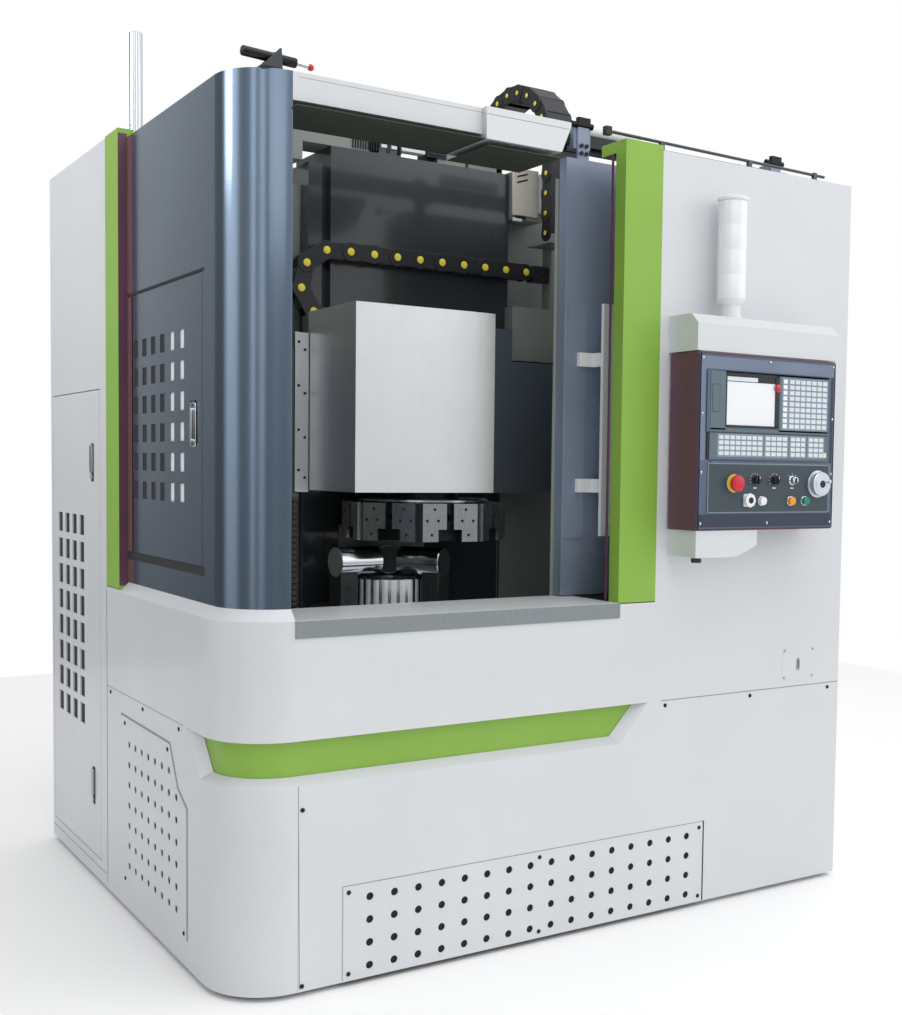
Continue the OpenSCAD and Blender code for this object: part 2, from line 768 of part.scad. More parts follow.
module saddle() place() color(iron) {
    span([head_x, saddle_y, saddle_low],
        [head_x + head_w, saddle_y + saddle_t, head_top - 10]);
    for (x = x_car_x, z = slide_z) x_carriage(x, z);
    for (x = z_rail_x, z = z_car_z) z_carriage(x, z);
    difference() {
        span([x_nut_x - 30, saddle_y + saddle_t, x_screw_z - 35],
            [x_nut_x + 30, column_y - 6, x_screw_z + 35]);
        translate([x_nut_x - 31, x_screw_y, x_screw_z]) rotate([0, 90, 0])
            cylinder(d = screw_d + 2 * fit, h = 62);
    }
    difference() {
        span([z_screw_x - 34, z_screw_y - 34, z_nut_z - nut_l / 2],
            [z_screw_x + 34, saddle_y, z_nut_z + nut_l / 2]);
        translate([z_screw_x, z_screw_y, z_nut_z - nut_l]) cylinder(d = screw_d + 2 * fit,
            h = 2 * nut_l);
    }
    // Arm for the moving end of the chain
    span([chain_end_x, saddle_y + saddle_t - 1, chain_low - chain_h / 2],
        [chain_end_x + 60, chain_y + chain_w / 2, head_top - 10]);
}

module head_apron() place() {
    t = 4;
    y = saddle_y - 10;
    color(slate) {
        span([head_x + head_w, y, head_z - 8], [head_x + head_w + 500, y + t, box_z - 10]);
        span([head_x + head_w, y, box_z - 10], [head_x + head_w + 280, y + t, head_top - 2]);
    }
    color(steel) {
        span([head_x - 48, y - 2, head_z + 12], [head_x, y + t, head_top - 66]);
        span([wall_l + 12, y, head_z - 8], [head_x - 48, y + t, box_z - 10]);
        for (i = [0:3])
            knob([head_x - 22, y - 2, head_z + 50 + i * 145], 16, 5);
    }
}

module ram() place() color(iron) {
    difference() {
        span([ram_x, ram_y, ram_z], [ram_x + ram_w, ram_y + ram_d, ram_top]);
        span([ram_x + 40, ram_y + 40, ram_z - 1], [ram_x + ram_w - 40, ram_y + ram_d - 40,
            ram_top + 1]);
    }
    for (x = z_rail_x)
        span([x, ram_y + ram_d, ram_z], [x + rail_w, ram_y + ram_d + rail_t, ram_top]);
    // Plates that carry the screw's bearings and its motor
    for (z = [ram_z, z_screw_top]) difference() {
        span([head_x + 30, z_screw_y - 56, z], [ram_x, z_screw_y + 56, z + 14]);
        translate([z_screw_x, z_screw_y, z - 1]) cylinder(d = screw_d + 2 * fit, h = 16);
    }
}

module z_screw() place() color(steel)
    translate([z_screw_x, z_screw_y, ram_z + 2]) cylinder(d = screw_d, h = z_screw_top - ram_z + 30);

module z_servo() place() color(black)
    translate([z_screw_x, z_screw_y, z_screw_top + 14]) difference() {
        servo_body(servo_w, ram_top - z_screw_top - 18);
        translate([0, 0, -1]) cylinder(d = screw_d + 2 * fit, h = 22);
    }

module head_cover() place() color(steel) {
    t = sheet_t;
    difference() {
        span([head_x, head_y, head_z], [head_x + head_w, head_y + cover_d, head_top]);
        span([head_x + t, head_y + t, head_z + t], [head_x + head_w - t, head_y + cover_d + 1,
            head_top - t]);
        translate([turret_x, turret_y, head_z - 1]) cylinder(d = housing_d + 4, h = t + 2);
        span([head_x + 25, z_screw_y - 60, head_z - 1], [ram_x + 4, head_y + cover_d + 1, head_z + t + 1]);
        span([ram_x - 2, turret_y, head_z - 1],
            [ram_x + ram_w + 2, head_y + cover_d + 1, head_z + t + 1]);
    }
    // Spacers that fasten the cover to the ram's front
    for (z = [ram_z + 60, ram_top - 80])
        span([ram_x + 60, head_y + t, z], [ram_x + 110, ram_y, z + 30]);
}

housing_d = 220;

// ---- Turret ----

module turret_housing() place() color(iron) translate([turret_x, turret_y, 0]) difference() {
    translate([0, 0, turret_top + 2]) cylinder(d = housing_d, h = ram_z - turret_top - 2);
    translate([0, 0, turret_top]) cylinder(d = turret_shaft_d + 2 * fit, h = ram_z);
}

module station_faces() for (i = [0:stations - 1])
    rotate([0, 0, turret_turned + i * 360 / stations]) translate([turret_flats / 2, 0, 0]) children();

module turret_disc() place() color(iron) translate([turret_x, turret_y, 0]) {
    difference() {
        rotate([0, 0, turret_turned + 180 / stations]) translate([0, 0, turret_z])
            cylinder(d = turret_flats / cos(180 / stations), h = turret_t, $fn = stations);
        translate([0, 0, turret_z]) station_faces() {
            translate([-groove_d, -groove_w / 2, -1]) cube([groove_d + 1, groove_w, turret_t + 2]);
            translate([-45, -notch_w / 2, -1]) cube([46, notch_w, notch_h + 1]);
            translate([-70, 0, notch_h + 36]) rotate([0, 90, 0]) cylinder(d = tool_bore_d, h = 71);
        }
    }
    translate([0, 0, turret_top]) cylinder(d = turret_shaft_d, h = ram_z - turret_top - 2);
}

module tool_plates() place() color(steel) translate([turret_x, turret_y, turret_z])
    station_faces() for (side = [-1, 1]) {
        a = groove_w / 2;
        b = face_w / 2 - plate_t * tan(180 / stations) - 5;
        difference() {
            translate([0, side > 0 ? a : -b, 0]) cube([plate_t, b - a, turret_t]);
            translate([-1, side * notch_w / 2 - (side > 0 ? notch_w : 0), -1])
                cube([plate_t + 2, notch_w, notch_h + 1]);
            for (p = [[0.5, 0.85], [0.82, 0.55], [0.62, 0.18], [0.35, 0.55]])
                translate([-1, side * (a + (b - a) * p[0]), turret_t * p[1]]) rotate([0, 90, 0])
                    cylinder(d = 9, h = plate_t + 2);
        }
    }

// ---- Spindle ----

module at_spindle(z) translate([spindle_x, spindle_y, z]) children();

module spindle_housing() place() color(iron) at_spindle(0) difference() {
    union() {
        translate([0, 0, bed_top + 30]) cylinder(d = cartridge_d + 50, h = 30);
        translate([0, 0, bed_top + 60]) cylinder(d = cartridge_d, h = chuck_low - bed_top - 80);
    }
    cylinder(d = spindle_d + 2 * fit, h = chuck_z);
}

module spindle_motor() place() color(black) at_spindle(0) difference() {
    translate([0, 0, 120]) cylinder(d = cartridge_d - 31, h = bed_top - 90);
    translate([0, 0, 119]) cylinder(d = spindle_d - 20 + 2, h = bed_top);
}

module spindle_shaft() place() color(steel) at_spindle(0) difference() {
    union() {
        translate([0, 0, 130]) cylinder(d = spindle_d - 20, h = bed_top - 90);
        translate([0, 0, bed_top + 40]) cylinder(d = spindle_d, h = chuck_low - bed_top - 52);
        translate([0, 0, chuck_low - 12]) cylinder(d = spindle_d + 70, h = 12);
    }
    translate([0, 0, 100]) cylinder(d = bore_d, h = chuck_z);
}

module chuck_body() place() color(steel) at_spindle(0) difference() {
    union() {
        translate([0, 0, chuck_low]) cylinder(d = chuck_d, h = chuck_t);
        translate([0, 0, chuck_z]) cylinder(d = hub_d, h = hub_h);
        for (a = [0:30:330]) rotate([0, 0, a + 15])
            translate([hub_d / 2 - 16, 0, chuck_z + hub_h]) cylinder(d = 16, h = 5);
    }
    translate([0, 0, chuck_low - 1]) cylinder(d = bore_d, h = chuck_t + hub_h + 2);
    for (a = jaw_angles) rotate([0, 0, a])
        span([hub_d / 2 + 2, -slot_w / 2, chuck_z - slot_t], [chuck_d / 2 + 1, slot_w / 2, chuck_z + 1]);
}

// Jaw on the +X side: a key in the slot, a block, and the rounded nose over the locator
module jaw() {
    block_r = hub_d / 2 + jaw_travel + 6;
    nose_end = nose_r0 + nose_l;
    play = 0.3;
    span([block_r, -slot_w / 2 + play, chuck_z - slot_t + play],
        [chuck_d / 2 - jaw_travel - 2, slot_w / 2 - play, chuck_z]);
    span([block_r, -nose_d / 2 - 2, chuck_z + play], [nose_end, nose_d / 2 + 2, nose_z]);
    translate([nose_r0, 0, nose_z]) rotate([0, 90, 0]) cylinder(d = nose_d, h = nose_l);
}

module jaw_at(i) place() color(steel) at_spindle(0) rotate([0, 0, jaw_angles[i]]) jaw();
module jaw_1() jaw_at(0);
module jaw_2() jaw_at(1);
module jaw_3() jaw_at(2);

// ---- Front door ----

module front_door() place() color(slate) {
    win_x = door_x + stile_w;
    win_w = door_w - stile_w - bar_w;
    win_z = door_z + bar_w;
    win_h = door_top - door_z - 2 * bar_w;
    difference() {
        span([door_x, door_y, door_z], [door_x + door_w, door_y + door_t, door_top]);
        span([win_x, door_y - 1, win_z], [win_x + win_w, door_y + door_t + 1, win_z + win_h]);
        span([win_x - 14, door_y + 10, win_z - 14],
            [win_x + win_w + 14, door_y + 10 + pane_t + 0.6, win_z + win_h + 14]);
    }
    // Raised trim plate on the stile
    span([door_x + 12, door_y - 4, handle_z - 10], [door_x + 84, door_y, handle_z + handle_l - 5]);
    // Hangers and the carriages that run on the door rail
    for (x = [door_x + 46, door_x + door_w - 130]) {
        span([x, door_y + 6, door_top], [x + 44, door_y + 14, door_rail_z + 78]);
        difference() {
            span([x - 10, door_y + 14, door_rail_z - 16],
                [x + 54, rail_beam_y - 4, door_rail_z + rail_w + 16]);
            span([x - 11, rail_beam_y - 24 - rail_play, door_rail_z - rail_play],
                [x + 55, rail_beam_y + 1, door_rail_z + rail_w + rail_play]);
        }
    }
}

door_rail_z = hanger_z + 12;

module door_rail() place() color(black) {
    top = door_rail_z + rail_w + 12;
    span([edge_x + 2, rail_beam_y - 24, door_rail_z], [right - 6, rail_beam_y, door_rail_z + rail_w]);
    span([edge_x + 2, rail_beam_y, hanger_z], [right - sheet_t, rail_beam_y + 30, top]);
    // Feet on the left shell's roof and on the right side panel
    span([edge_x + 2, rail_beam_y, shell_h], [wall_l, rail_beam_y + 30, hanger_z]);
    span([right - sheet_t - 20, rail_beam_y, panel_h - 60],
        [right - sheet_t, rail_beam_y + 30, hanger_z]);
}

module door_window() place() color([0.75, 0.82, 0.85, 0.5]) {
    win_x = door_x + stile_w;
    win_w = door_w - stile_w - bar_w;
    win_z = door_z + bar_w;
    win_h = door_top - door_z - 2 * bar_w;
    span([win_x - 13, door_y + 10.3, win_z - 13],
        [win_x + win_w + 13, door_y + 10.3 + pane_t, win_z + win_h + 13]);
}

module door_handle() place() color([0.9, 0.9, 0.9]) {
    bar_x = door_x + 112;
    bar_y = door_y - 62;
    span([bar_x, bar_y, handle_z], [bar_x + 42, bar_y + 14, handle_z + handle_l]);
    for (z = [handle_z + 140, handle_z + handle_l - 200]) {
        span([door_x + 50, door_y - 18, z], [bar_x + 6, door_y - 4, z + 44]);
        span([bar_x - 8, bar_y + 14, z], [bar_x + 6, door_y - 18, z + 44]);
    }
}

// ---- Side door and cabinet ----

module side_door() place() color(slate) {
    x = shell_x;
    pitch = [88, 87];
    slot = [42, 53];
    first = [152, 171];
    last_i = floor((side_door_w - first[0] - slot[0] - 40) / pitch[0]);
    last_k = floor((side_door_h - first[1] - slot[1] - 100) / pitch[1]);
    difference() {
        span([x, side_door_y, side_door_z],
            [x + hinged_t, side_door_y + side_door_w, side_door_z + side_door_h]);
        for (i = [0:last_i], k = [0:last_k]) {
            y = side_door_y + first[0] + i * pitch[0];
            z = side_door_z + first[1] + k * pitch[1];
            span([x - 1, y, z], [x + hinged_t + 1, y + slot[0], z + slot[1]]);
        }
        span([x - 1, side_door_y + 44, side_door_z + 330],
            [x + 8, side_door_y + 96, side_door_z + 455]);
        hinge_bores(x + hinge_in, side_door_y + side_door_w - hinge_in, side_door_z,
            side_door_z + side_door_h);
    }
    span([x - 2, side_door_y + 62, side_door_z + 330],
        [x + 6, side_door_y + 74, side_door_z + 455]);
}

cab_door_y = total_d - 30 - cab_door_w;

module cabinet_shell() place() color(white) {
    t = sheet_t;
    front = body_d + 0.5;
    x0 = left + t + seam;
    x1 = left + cabinet_w;
    y1 = total_d - t - seam;
    y_in = cab_door_y - door_gap;
    y_out = cab_door_y + cab_door_w + door_gap;
    low = cab_door_low - door_gap;
    top = cab_door_top + door_gap;
    // Door side: four strips round the door's opening
    span([left, front, 0], [left + t, total_d, low]);
    span([left, front, top], [left + t, total_d, cabinet_h]);
    span([left, front, low + seam], [left + t, y_in, top - seam]);
    span([left, y_out, low + seam], [left + t, total_d, top - seam]);
    // Front, far side, roof and floor
    span([x0, front, t + seam], [x1, front + t, cabinet_h - t - seam]);
    span([x1 - t, front + t + seam, t + seam], [x1, y1, cabinet_h - t - seam]);
    span([x0, front, cabinet_h - t], [x1, y1, cabinet_h]);
    span([x0, front, 0], [x1, y1, t]);
    // Rear, with the power inlet
    difference() {
        span([x0, total_d - t, 0], [x1, total_d, cabinet_h]);
        translate([left + cabinet_w / 2, total_d - t - 1, 260]) rotate([-90, 0, 0])
            cylinder(d = gland_bore, h = t + 2);
    }
    hinge_pins(left + hinge_in, cab_door_y + cab_door_w - hinge_in, cab_door_low, cab_door_top,
        left + t);
    // Lip behind which the latches' cams turn
    span([left + t, cab_door_y - door_gap - t, cab_door_low],
        [left + hinged_t + 0.5, cab_door_y - door_gap, cab_door_top]);
    // Mounting plate for the drives, and the gland's ring over the power inlet
    span([left + cabinet_w - 60, body_d + 60, t + seam],
        [left + cabinet_w - 50, total_d - 60, cabinet_h - 100]);
    translate([left + cabinet_w / 2, total_d - t - 16, 260]) rotate([-90, 0, 0]) difference() {
        cylinder(d = gland_bore + 20, h = 16);
        translate([0, 0, -1]) cylinder(d = gland_bore, h = 18);
    }
}

module latch_hole(z) translate([left - 1, cab_door_y + 88, z]) rotate([0, 90, 0])
    cylinder(d = 18 + 2 * fit, h = hinged_t + 2);

latch_z = [310, 1410];

module cabinet_door() place() color(white) {
    difference() {
        span([left, cab_door_y, cab_door_low],
            [left + hinged_t, cab_door_y + cab_door_w, cab_door_top]);
        for (i = [0:3], k = [0:7])
            span([left - 1, cab_door_y + 205 + i * 100, 500 + k * 94],
                [left + hinged_t + 1, cab_door_y + 265 + i * 100, 570 + k * 94]);
        for (z = latch_z) latch_hole(z);
        hinge_bores(left + hinge_in, cab_door_y + cab_door_w - hinge_in, cab_door_low,
            cab_door_top);
    }
}

// Turning latch on the cabinet door: round spindle with a bar outside and a cam inside
module latch(z) place() color(steel) translate([0, cab_door_y + 88, z]) {
    translate([left, 0, 0]) rotate([0, 90, 0]) cylinder(d = 18, h = hinged_t + 1);
    span([left - latch_out, -12, -58], [left - 0.3, 12, 58]);
    span([left + hinged_t + 1, -10, -102], [left + hinged_t + 5, 10, 10]);
}

module latch_lower() latch(latch_z[0]);
module latch_upper() latch(latch_z[1]);

// ---- Operator panel ----

module pendant_mounts() place() color(white) {
    x0 = pendant_x - 3;
    x1 = pendant_x + pendant_w + 15;
    t = sheet_t;
    // Hood, folded over the box and closed at its ends
    along_x(x0, x1 - x0)
        polygon([[0, hood_z], [0, hood_z + hood_h], [-pendant_out + 32, hood_z + hood_h],
            [-pendant_out, hood_z + hood_h - 30], [-pendant_out, hood_z]]);
    // Foot under the box, with its clamp for the cable conduit
    along_y(0, pendant_out)
        polygon([[x0 + 8, pendant_z - 84], [x0 + 180, pendant_z - 84], [x0 + 262, pendant_z - 48],
            [x0 + 262, pendant_z - 0.5], [x0 + 8, pendant_z - 0.5]]);
    translate([x0 + 31, -pendant_out + 24, pendant_z - 100]) cylinder(d = 30, h = 16);
    // Blocks that carry the box off the wall, and the strip that closes it to the hood
    for (z = [pendant_z + 40, pendant_z + pendant_h - 100])
        span([pendant_x + 60, -pendant_gap, z], [pendant_x + pendant_w - 60, 0, z + 60]);
    span([x0 + 20, -pendant_out + 10, hood_z - 4], [x1 - 40, -pendant_gap, hood_z]);
}

module pendant_box() place() color([0.23, 0.11, 0.13]) difference() {
    span([pendant_x, -pendant_out, pendant_z], [pendant_x + pendant_w, -pendant_gap,
        pendant_z + pendant_h]);
    span([pendant_x + 12, -pendant_out - 1, pendant_z + 12],
        [pendant_x + pendant_w - 12, -pendant_gap - 3, pendant_z + pendant_h - 12]);
}

// Places of the controls on the face, as (x, z) from the panel's lower left corner
wheel_at = [pendant_w - 79, panel_z - pendant_z];
stop_at = [145, panel_z - pendant_z];
knob_at = [[236, 158], [318, 158], [397, 158]];
push_at = [[264, 92], [391, 92], [453, 92]];
socket_at = [208, 94];
screen_at = [109, 328];
screen_size = [205, 156];

module controls() for (p = concat([wheel_at, stop_at], knob_at, push_at))
    translate([pendant_x + p[0], 0, pendant_z + p[1]]) children();

module control_face() place() color([0.24, 0.28, 0.36]) {
    y = -pendant_out;
    difference() {
        union() {
            span([pendant_x + 4, y - face_t, pendant_z + 6],
                [pendant_x + pendant_w - 6, y, pendant_z + pendant_h - 6]);
            // Display unit, key panel and lower panel
            span([pendant_x + 30, y - face_t - 5, pendant_z + 305],
                [pendant_x + 552, y - face_t, pendant_z + 494]);
            span([pendant_x + 72, y - face_t - 3, pendant_z + 221],
                [pendant_x + 552, y - face_t, pendant_z + 303]);
            span([pendant_x + 52, y - face_t - 3, pendant_z + 53],
                [pendant_x + 574, y - face_t, pendant_z + 216]);
            // Collar of the emergency stop
            translate([pendant_x + stop_at[0], 0, pendant_z + stop_at[1]])
                knob([0, y, 0], stop_d + 10, face_t + 3 + collar_t);
        }
        span([pendant_x + screen_at[0], y - face_t - 6, pendant_z + screen_at[1]],
            [pendant_x + screen_at[0] + screen_size[0], y - 2, pendant_z + screen_at[1]
                + screen_size[1]]);
        controls() knob([0, 1, 0], shank_d + 2 * fit, pendant_out + 20);
    }
    knob([pendant_x + socket_at[0], face_y - 3, pendant_z + socket_at[1]], 36, 14);
}

shank_d = 16;
collar_t = 2.5;

module screen() place() color([0.85, 0.88, 0.9])
    span([pendant_x + screen_at[0] + 0.3, face_y - 3, pendant_z + screen_at[1] + 0.3],
        [pendant_x + screen_at[0] + screen_size[0] - 0.3, -pendant_out - 2, pendant_z
            + screen_at[1] + screen_size[1] - 0.3]);

// Front of the lower panel, where the controls' collars sit
collar_y = face_y - 3;

// A control on its shank: the point p on the face, a head of the given size, clear of the face
module control(p, d, l, lift) translate([pendant_x + p[0], 0, pendant_z + p[1]]) {
    knob([0, collar_y - lift, 0], d, l);
    knob([0, -pendant_out + 6, 0], shank_d, -face_y - pendant_out + lift + 9);
}

module emergency_stop() place() color([0.8, 0.1, 0.08]) {
    control(stop_at, stop_d, 14, 16);
    translate([pendant_x + stop_at[0], 0, pendant_z + stop_at[1]])
        knob([0, collar_y - 9, 0], stop_d * 0.55, 8);
}

module turn_knob(p) {
    control(p, button_d, 16, 3);
    translate([pendant_x + p[0], 0, pendant_z + p[1]])
        span([-3, collar_y - 24, -button_d / 2], [3, collar_y - 19, button_d / 2]);
}

module mode_knob() place() color(black) turn_knob(knob_at[0]);
module override_knob() place() color(black) turn_knob(knob_at[1]);
module key_switch() place() color(steel) turn_knob(knob_at[2]);

module handwheel() place() color(steel) {
    control(wheel_at, wheel_d, 16, 5);
    translate([pendant_x + wheel_at[0], 0, pendant_z + wheel_at[1]])
        knob([wheel_d * 0.3, collar_y - 21, wheel_d * 0.12], 12, wheel_out - 24);
}

module button_white() place() color([0.9, 0.9, 0.9]) control(push_at[0], button_d, 9, 5);
module button_orange() place() color([0.95, 0.5, 0.1]) control(push_at[1], button_d, 9, 5);
module button_green() place() color([0.1, 0.55, 0.4]) control(push_at[2], button_d, 9, 5);

module signal_light() place() color([0.95, 0.95, 0.95]) translate([light_x, light_y, 0]) {
    z = hood_z + hood_h;
    translate([0, 0, z]) cylinder(d = light_d * 0.66, h = 50);
    translate([0, 0, z + 50]) cylinder(d = light_d, h = light_h);
    translate([0, 0, z + 50 + light_h]) cylinder(d = light_d + 6, h = 10);
}

// ---- Small fittings ----

module front_screw(x, z) translate([x, 0, z]) rotate([90, 0, 0]) cylinder(d = screw_head_d, h = 3);
module side_screw(x, y, z) translate([x, y, z]) rotate([0, -90, 0])
    cylinder(d = screw_head_d, h = 3);

module panel_screws() place() color(black) {
    for (z = [15, 494]) front_screw(left + corner_r + 22, z);
    for (x = [-768, -143, 482], z = [20, 247]) front_screw(x, z);
    for (k = [0:2]) front_screw(329 + k * (right - 53 - 329) / 2, seam_h - 16);
    for (p = [[914, 591], [485, 589], [914, 94], [340, 94]]) side_screw(left - sheet_t, p[0], p[1]);
    for (y = [391, 733, body_d - 45]) side_screw(left, y, seam_h - 16);
}

// Half ring of a cable chain, drawn in (x, z), of the given bend radius and width along Y
module chain_arc(r, a0, a1, w) rotate([90, 0, 0]) rotate([0, 0, a0]) rotate_extrude(angle = a1 - a0)
    translate([r - chain_h / 2, -w / 2]) square([chain_h, w]);

module riser_chain() place() color(black) translate([riser_x + riser_w / 2, riser_y, 0]) {
    w = riser_w / 2;
    h = chain_h / 2;
    translate([0, 0, riser_z]) rotate([0, 0, 90]) chain_arc(riser_r, 0, 180, riser_w);
    span([-w, -riser_r - h, riser_low], [w, -riser_r + h, riser_z]);
    span([-w, riser_r - h, riser_foot], [w, riser_r + h, riser_z]);
}

riser_foot = panel_h + seam;

module x_chain() place() color(black) translate([0, chain_y, 0]) {
    h = chain_h / 2;
    w = chain_w / 2;
    translate([chain_bend_x, 0, chain_top - chain_r]) chain_arc(chain_r, 90, 270, chain_w);
    span([chain_bend_x, -w, chain_top - h], [chain_fix_x + 2, w, chain_top + h]);
    span([chain_bend_x, -w, chain_low - h], [chain_end_x - 0.3, w, chain_low + h]);
}

module roof_fittings() place() {
    color(steel) {
        // Exhaust pipe on the cabinet's roof
        translate([-1000, body_d + 35, cabinet_h]) difference() {
            cylinder(d = 42, h = 363);
            translate([0, 0, 10]) cylinder(d = 36, h = 363);
        }
    }
    color(black) {
        // Stay on the shell's corner, held by its bracket, and the trim along the right panel
        translate([-1056, 60, shell_h + 40]) rotate([0, 93, 0]) cylinder(d = 26, h = 160);
        translate([-900, 60, shell_h + 32]) rotate([0, 93, 0]) cylinder(d = 12, h = 44);
        along_y(75, 30) polygon([[-1020, shell_h], [-950, shell_h], [-962, shell_h + 54]]);
        for (x = [post_x + post_w + 20, right - 140])
            span([x, 30, panel_h], [x + 12, 42, panel_h + 20]);
        translate([post_x - 40, 36, panel_h + 24]) rotate([0, 90, 0]) cylinder(d = 12, h = 915);
    }
}

base_casting();
leveling_feet();
lower_skirt();
front_vent_panel();
side_vent_panel();
accent_stripe();
upper_band();
sill();
left_enclosure();
corner_posts();
right_panel();
top_beam();
rear_panels();
inner_guards();
column();
x_rails();
riser_chain();
spindle_housing();
spindle_motor();
x_servo();
door_rail();
cabinet_shell();
pendant_mounts();
pendant_box();
control_face();
screen();
signal_light();
panel_screws();
roof_fittings();
front_door();
door_window();
door_handle();
side_door();
cabinet_door();
latch_upper();
latch_lower();
spindle_shaft();
chuck_body();
jaw_1();
jaw_2();
jaw_3();
x_screw();
saddle();
head_apron();
ram();
head_cover();
turret_housing();
turret_disc();
tool_plates();
z_screw();
z_servo();
x_chain();
emergency_stop();
mode_knob();
override_knob();
key_switch();
handwheel();
button_white();
button_orange();
button_green();
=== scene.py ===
import math
import bpy
import bmesh
from mathutils import Matrix, Vector


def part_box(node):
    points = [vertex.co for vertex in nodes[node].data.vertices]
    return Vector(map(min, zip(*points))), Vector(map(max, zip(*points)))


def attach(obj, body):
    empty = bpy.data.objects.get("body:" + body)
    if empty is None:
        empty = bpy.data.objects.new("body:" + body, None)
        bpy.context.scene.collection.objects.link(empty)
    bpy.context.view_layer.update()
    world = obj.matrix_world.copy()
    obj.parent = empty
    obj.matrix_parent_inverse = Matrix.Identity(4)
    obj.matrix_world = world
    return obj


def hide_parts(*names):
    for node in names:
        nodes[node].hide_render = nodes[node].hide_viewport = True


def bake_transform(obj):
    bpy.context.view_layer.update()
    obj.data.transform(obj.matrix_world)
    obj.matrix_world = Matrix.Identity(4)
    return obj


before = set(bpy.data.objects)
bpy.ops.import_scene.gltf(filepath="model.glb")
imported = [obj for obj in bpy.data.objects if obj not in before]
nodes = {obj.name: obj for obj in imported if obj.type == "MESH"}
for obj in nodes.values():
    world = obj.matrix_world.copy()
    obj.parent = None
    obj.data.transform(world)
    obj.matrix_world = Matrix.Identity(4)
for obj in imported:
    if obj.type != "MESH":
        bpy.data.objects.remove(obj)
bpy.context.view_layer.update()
mm = 0.001  # one millimetre of the frame's metres
print("frame loaded")


# Colours are written as sRGB hex and turned into the linear values the shaders use.
def tone(hexColor, alpha=1.0):
    parts = [int(hexColor[i:i + 2], 16) / 255 for i in (1, 3, 5)]
    linear = [p / 12.92 if p <= 0.04045 else ((p + 0.055) / 1.055) ** 2.4 for p in parts]
    return (*linear, alpha)


def addNode(tree, kind, inputs=None, **settings):
    made = tree.nodes.new("ShaderNode" + kind)
    for name, value in settings.items():
        setattr(made, name, value)
    for key, value in (inputs or {}).items():
        if isinstance(value, bpy.types.NodeSocket):
            tree.links.new(value, made.inputs[key])
        else:
            made.inputs[key].default_value = value
    return made


def startMaterial(name, color, metallic, roughness):
    material = bpy.data.materials.new(name)
    material.use_nodes = True
    material.diffuse_color = tone(color)
    tree = material.node_tree
    shader = tree.nodes["Principled BSDF"]
    shader.inputs["Base Color"].default_value = tone(color)
    shader.inputs["Metallic"].default_value = metallic
    shader.inputs["Roughness"].default_value = roughness
    return material, tree, shader


def millimetres(tree, stretch=(1, 1, 1)):
    place = addNode(tree, "TexCoord").outputs["Object"]
    scale = tuple(s / mm for s in stretch)
    return addNode(tree, "Mapping", {"Vector": place, "Scale": scale}).outputs["Vector"]


# What every finish has: a tone that drifts between two colours, a relief of some strength and
# depth in millimetres, and where it has a sheen (noise, least, most) a roughness that drifts too.
def layFinish(tree, shader, drift, color, shade, relief, height, depth=1.0, sheen=None):
    mix = addNode(tree, "Mix", {"Factor": drift, "A": tone(color), "B": tone(shade)},
                  data_type="RGBA")
    tree.links.new(mix.outputs["Result"], shader.inputs["Base Color"])
    if sheen:
        gloss = addNode(tree, "MapRange", {"Value": sheen[0], "To Min": sheen[1],
                                           "To Max": sheen[2]})
        tree.links.new(gloss.outputs["Result"], shader.inputs["Roughness"])
    bump = addNode(tree, "Bump", {"Height": relief, "Strength": height, "Distance": depth * mm})
    tree.links.new(bump.outputs["Normal"], shader.inputs["Normal"])


# Sprayed and baked paint: a fine orange peel in the reflections and a faint cloudiness of the tone.
cloudSize = 260


def paint(name, color, shade, roughness, peel=2.5, height=0.03, coat=0.0, spread=0.06,
          metallic=0.0):
    material, tree, shader = startMaterial(name, color, metallic, roughness)
    place = millimetres(tree)
    fine = addNode(tree, "TexNoise", {"Vector": place, "Scale": 1 / peel, "Detail": 2.0})
    broad = addNode(tree, "TexNoise", {"Vector": place, "Scale": 1 / cloudSize, "Detail": 3.0})
    cloud = broad.outputs["Fac"]
    layFinish(tree, shader, cloud, color, shade, fine.outputs["Fac"], height,
              sheen=(cloud, roughness - spread, roughness + spread))
    shader.inputs["Coat Weight"].default_value = coat
    shader.inputs["Coat Roughness"].default_value = 0.08
    return material


# Bare metal with a grain: long narrow streaks along one axis, as brushing or turning leaves them.
# The streaks are drawn a millimetre wide, coarser than real ones, so that they show.
brushLook = {"stretch": 0.015, "patches": 120, "smoother": 0.08, "rougher": 0.12}


def brushed(name, color, shade, roughness, along, grain=1.2, height=0.05):
    material, tree, shader = startMaterial(name, color, 1.0, roughness)
    stretch = tuple(brushLook["stretch"] if axis == along else 1 for axis in "xyz")
    place = millimetres(tree, stretch)
    streaks = addNode(tree, "TexNoise", {"Vector": place, "Scale": 1 / grain, "Detail": 4.0})
    broad = addNode(tree, "TexNoise", {"Vector": millimetres(tree),
                                       "Scale": 1 / brushLook["patches"], "Detail": 4.0})
    grainLines = streaks.outputs["Fac"]
    blend = addNode(tree, "Math", {0: grainLines, 1: broad.outputs["Fac"]}, operation="MULTIPLY")
    sheen = (grainLines, roughness - brushLook["smoother"], roughness + brushLook["rougher"])
    layFinish(tree, shader, blend.outputs["Value"], color, shade, grainLines, height, 0.5, sheen)
    return material


# Moulded or cast stock with one grain size: plastics, rubber and rough iron.
def moulded(name, color, shade, roughness, grain, height, metallic=0.0):
    material, tree, shader = startMaterial(name, color, metallic, roughness)
    noise = addNode(tree, "TexNoise", {"Vector": millimetres(tree), "Scale": 1 / grain,
                                       "Detail": 5.0})
    skin = noise.outputs["Fac"]
    layFinish(tree, shader, skin, color, shade, skin, height)
    return material


# White powder coat: reads as pale enamelled sheet with soft, slightly broken reflections.
whiteCoat = paint("powder coat, white satin", "#D4D7DA", "#CBCED2", 0.38, coat=0.15)
